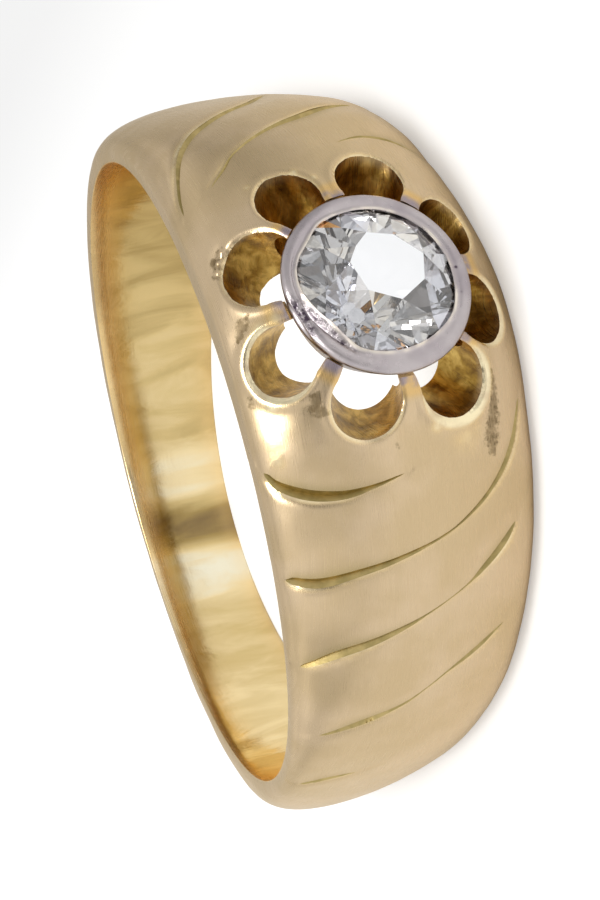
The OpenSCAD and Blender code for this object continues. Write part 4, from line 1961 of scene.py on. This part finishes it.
    def mark_lines(self, cut: CutBand) -> Array:
        """Mark the painted shade of the flute beside each engraved line, and the wall of the cut that looks
        to its left, which gets painted light.

        Args:
            cut: The cut band.

        Returns:
            How bright the lip on the lines' right is painted as highlight at each point.
        """
        walls, flute, rubbed_and_painted_highlight = np.zeros(len(cut.centres)), np.zeros(len(cut.spots)), np.zeros(len(cut.spots))
        for path in self.engraving.laid(self.shape):
            by = self.engraving.beside(path, cut.spots)
            # Painted shade along the flute, wide on the line's left.
            spread = np.where(by.left > 0.0, 1.1 * by.width + 0.03, 0.04)
            strength = np.clip(by.width / 0.22 - 0.15, 0.0, 0.85)
            flute[by.near] = np.maximum(flute[by.near], strength * bell(by.gap, spread))
            # Painted highlight on the lip to the right of the line.
            lip = (by.left < 0.0) * np.clip(by.width / 0.16, 0.0, 1.0)
            lip *= 1.0 - smooth_step(by.gap - 0.55 * by.width, 0.0, 0.12)
            rubbed_and_painted_highlight[by.near] = np.maximum(rubbed_and_painted_highlight[by.near], 0.75 * lip * (cut.depth[by.near] < 0.2))
            # The wall that looks to the left is given painted light in the material.
            by = self.engraving.beside(path, cut.centres)
            looks_left = (cut.normals[by.near] * by.flank).sum(axis=1) > 0.0
            walls[by.near] = np.where(by.gap < 0.3, looks_left, walls[by.near])
        cut.put("flute", flute)
        put_values(cut.mesh, "graved_painted_light", (cut.graved * walls)[cut.owner], "CORNER")
        return rubbed_and_painted_highlight

    def grime(self, points: Array) -> Array:
        """Return how dirty points of the outside are: patches, streaks, and rings round the beads.

        Args:
            points: Points in the ring's own frame.

        Returns:
            How dirty each point is, from 0 to 1.
        """
        found = self.patched(points, self.patches)
        for path in self.engraving.laid(self.shape, self.streaks):
            by = self.engraving.beside(path, points)
            found[by.near] = np.maximum(found[by.near], bell(by.gap, by.width))
        for bead in self.beads:
            far = self.distance(points, bead, self.bead_r)
            found = np.maximum(found, 0.6 * bell(far - bead.width * 0.8, 0.35 * bead.width))
        return found

    def mark_wear(self, mesh: Mesh) -> None:
        """Store the wrap map and where the gold is drilled, graved, stained, dirty or worn bright, and where
        highlight, shade and reflection are painted on it.

        Args:
            mesh: The cut band, still in millimetres.
        """
        cut = CutBand(mesh, self.shape)
        cut.sharpen()
        cut.put_walls()
        self.mark_inside(cut)
        rubbed_and_painted_highlight = np.maximum(self.mark_lobes(cut), self.mark_lines(cut))
        cut.put("grime", self.grime(cut.spots))
        # The edge mark carries worn lips and painted highlights.
        cut.put("edge", np.maximum(rubbed_and_painted_highlight, self.patched(cut.spots, self.painted_highlights)))
        cut.lay_wrap(self.wrap_r)

    def build(self, finish: Material) -> Thing:
        """Build the whole band.

        Args:
            finish: The gold.

        Returns:
            The finished band.
        """
        thing = self.blank()
        LOG.info("blank: %d vertices, %d faces", len(thing.data.vertices), len(thing.data.polygons))
        self.cut(thing, finish)
        mesh = thing.data
        self.mark_wear(mesh)
        settled = self.shape.settle(read_values(mesh.vertices, "co", 3))
        mesh.vertices.foreach_set("co", settled.ravel())
        mesh.update()
        return thing


@dataclass(frozen=True)
class Studio:
    """A pale table, painted darker towards +Y as painted shade, soft light and the camera at the photograph's
    angle.
    """

    eye: Triple = (55.246, -19.2864, 28.3441)
    aim: Triple = (0.4663, -0.1458, -0.9667)
    roll: float = -99.946
    lens: float = 84.53
    table_size: float = 1.2
    table_lift: float = 0.32
    table_tones: Stops = ((0.15, (0.54, 0.54, 0.537)), (0.95, (0.88, 0.88, 0.875)))
    window_place: Triple = (0.072, -0.016, 0.164)
    window_size: float = 0.075
    window_power: float = 0.145
    sky: Stops = (
        (0.0, (0.72, 0.72, 0.72)),
        (0.30, (0.86, 0.86, 0.86)),
        (0.62, (0.92, 0.92, 0.92)),
        (1.0, (0.78, 0.78, 0.78)),
    )
    cards: tuple[Card, ...] = (
        Card((0.842, -0.295, 0.45), 7.0, 17.0, 0.25),
        Card((0.66, -0.62, 0.42), 8.0, 26.0, 0.80),
    )

    def camera(self) -> None:
        """Place the camera, turned about the line it looks along."""
        data = bpy.data.cameras.new("camera")
        data.lens = self.lens
        data.sensor_width = 36.0
        data.clip_start = 0.001
        data.clip_end = 10.0
        thing = bpy.data.objects.new("camera", data)
        bpy.context.scene.collection.objects.link(thing)
        eye, aim = Vector(self.eye), Vector(self.aim)
        ahead = (aim - eye).normalized()
        level = ahead.cross(Vector((0, 0, 1))).normalized()
        upright = level.cross(ahead)
        turn = math.radians(self.roll)
        right = level * math.cos(turn) + upright * math.sin(turn)
        up = right.cross(ahead)
        frame = Matrix((right, up, -ahead)).transposed().to_4x4()
        thing.matrix_world = Matrix.Translation(eye * MM) @ frame
        bpy.context.scene.camera = thing

    def table(self, height: float) -> None:
        """Args:
            height: Height of its top, in metres.
        """
        half = self.table_size / 2
        points = np.array([(x * half, y * half, height) for x, y in ((-1, -1), (1, -1), (1, 1), (-1, 1))])
        thing = new_object("pale_table", points, [(0, 1, 2, 3)])
        material, bench, shader = new_material("table_white")
        place = bench.add("ShaderNodeTexCoord").outputs["Object"]
        across = bench.add("ShaderNodeSeparateXYZ", {"Vector": place}).outputs["Y"]
        cloud = bench.times(bench.grain(place, 30.0, 2.0, 0.5), 0.1)
        # Painted shade: the table darkens towards +Y, in place of light falling off there.
        painted_falloff = bench.plus(bench.span(across, 0.005, 0.026, 0.85, 0.08), cloud)
        seen = bench.add("ShaderNodeLightPath").outputs["Is Camera Ray"]
        finish = {
            "Base Color": bench.ramp(painted_falloff, self.table_tones),
            "Roughness": 0.9,
            "Specular IOR Level": 0.1,
            "Emission Color": (1.0, 1.0, 1.0, 1.0),
            "Emission Strength": bench.times(seen, self.table_lift),
        }
        bench.fill(shader, finish)
        thing.data.materials.append(material)
        thing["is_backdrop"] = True

    def window(self) -> None:
        """Hang the one soft light, facing the ring."""
        data = bpy.data.lights.new("window", "AREA")
        data.shape = "RECTANGLE"
        data.size = data.size_y = self.window_size
        data.energy = self.window_power
        thing = bpy.data.objects.new("window", data)
        bpy.context.scene.collection.objects.link(thing)
        thing.location = self.window_place
        thing.rotation_euler = (-Vector(self.window_place)).to_track_quat("-Z", "Y").to_euler()

    def room(self) -> None:
        """Put a pale room round the ring, a little uneven and with two grey cards in it."""
        world = bpy.data.worlds.new("soft_room")
        world.use_nodes = True
        bpy.context.scene.world = world
        world.node_tree.nodes.clear()
        bench = Bench(world.node_tree)
        way = bench.add("ShaderNodeTexCoord").outputs["Generated"]
        parts = bench.add("ShaderNodeSeparateXYZ", {"Vector": way}).outputs
        light = bench.span(parts["Y"], -1.0, 1.0, 1.04, 0.74)
        light = bench.times(light, bench.span(parts["X"], -1.0, 0.6, 0.96, 1.0))
        light = bench.times(light, bench.span(bench.grain(way, 2.3, 1.0, 0.4), 0.40, 0.60, 0.82, 1.18))
        for card in self.cards:
            facing = {0: way, 1: tuple(Vector(card.toward).normalized())}
            near = bench.add("ShaderNodeVectorMath", facing, operation="DOT_PRODUCT").outputs["Value"]
            outer, inner = math.cos(math.radians(card.outer)), math.cos(math.radians(card.inner))
            light = bench.times(light, bench.span(near, outer, inner, 1.0, card.left))
        sky = bench.ramp(parts["Z"], self.sky)
        glow = bench.out("ShaderNodeBackground", {"Color": sky, "Strength": light})
        bench.add("ShaderNodeOutputWorld", {"Surface": glow})

    def build(self, height: float) -> None:
        """Set out the camera, the table, the room and the light.

        Args:
            height: Height of the table's top, in metres.
        """
        scene = bpy.context.scene
        scene.view_settings.view_transform = "Standard"
        scene.view_settings.look = "None"
        scene.cycles.max_bounces = 24
        scene.cycles.transmission_bounces = 20
        scene.cycles.glossy_bounces = 8
        scene.cycles.diffuse_bounces = 4
        scene.cycles.sample_clamp_indirect = 6.0
        self.camera()
        self.table(height)
        self.room()
        self.window()


def main() -> None:
    """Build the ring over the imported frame, then the studio."""
    logging.basicConfig(level=logging.INFO, format="%(name)s: %(message)s")
    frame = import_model()
    packed_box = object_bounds()
    LOG.info("packed nodes: %s", sorted(frame["nodes"]))
    shape = BandShape()

    band = GoldBand(shape).build(SatinGold().make())
    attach(band, "root")
    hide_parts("band")
    LOG.info("band: %d faces", len(band.data.polygons))

    stone_shape = StoneShape()
    collet = ColletShape().build(shape, stone_shape)
    collet.data.materials.append(GreyWhiteMetal().make())
    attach(collet, "root")
    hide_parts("collet")
    LOG.info("collet: %d faces", len(collet.data.polygons))

    stone = stone_shape.build(shape)
    stone.data.materials.append(OldDiamond().make())
    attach(stone, "root")
    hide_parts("stone")
    LOG.info("stone: %d faces", len(stone.data.polygons))

    # The table lies a thousandth of a millimetre under the ring.
    Studio().build(float(packed_box[0][2]) - 0.001 * MM)
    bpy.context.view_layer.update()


if __name__ == "__main__":
    main()
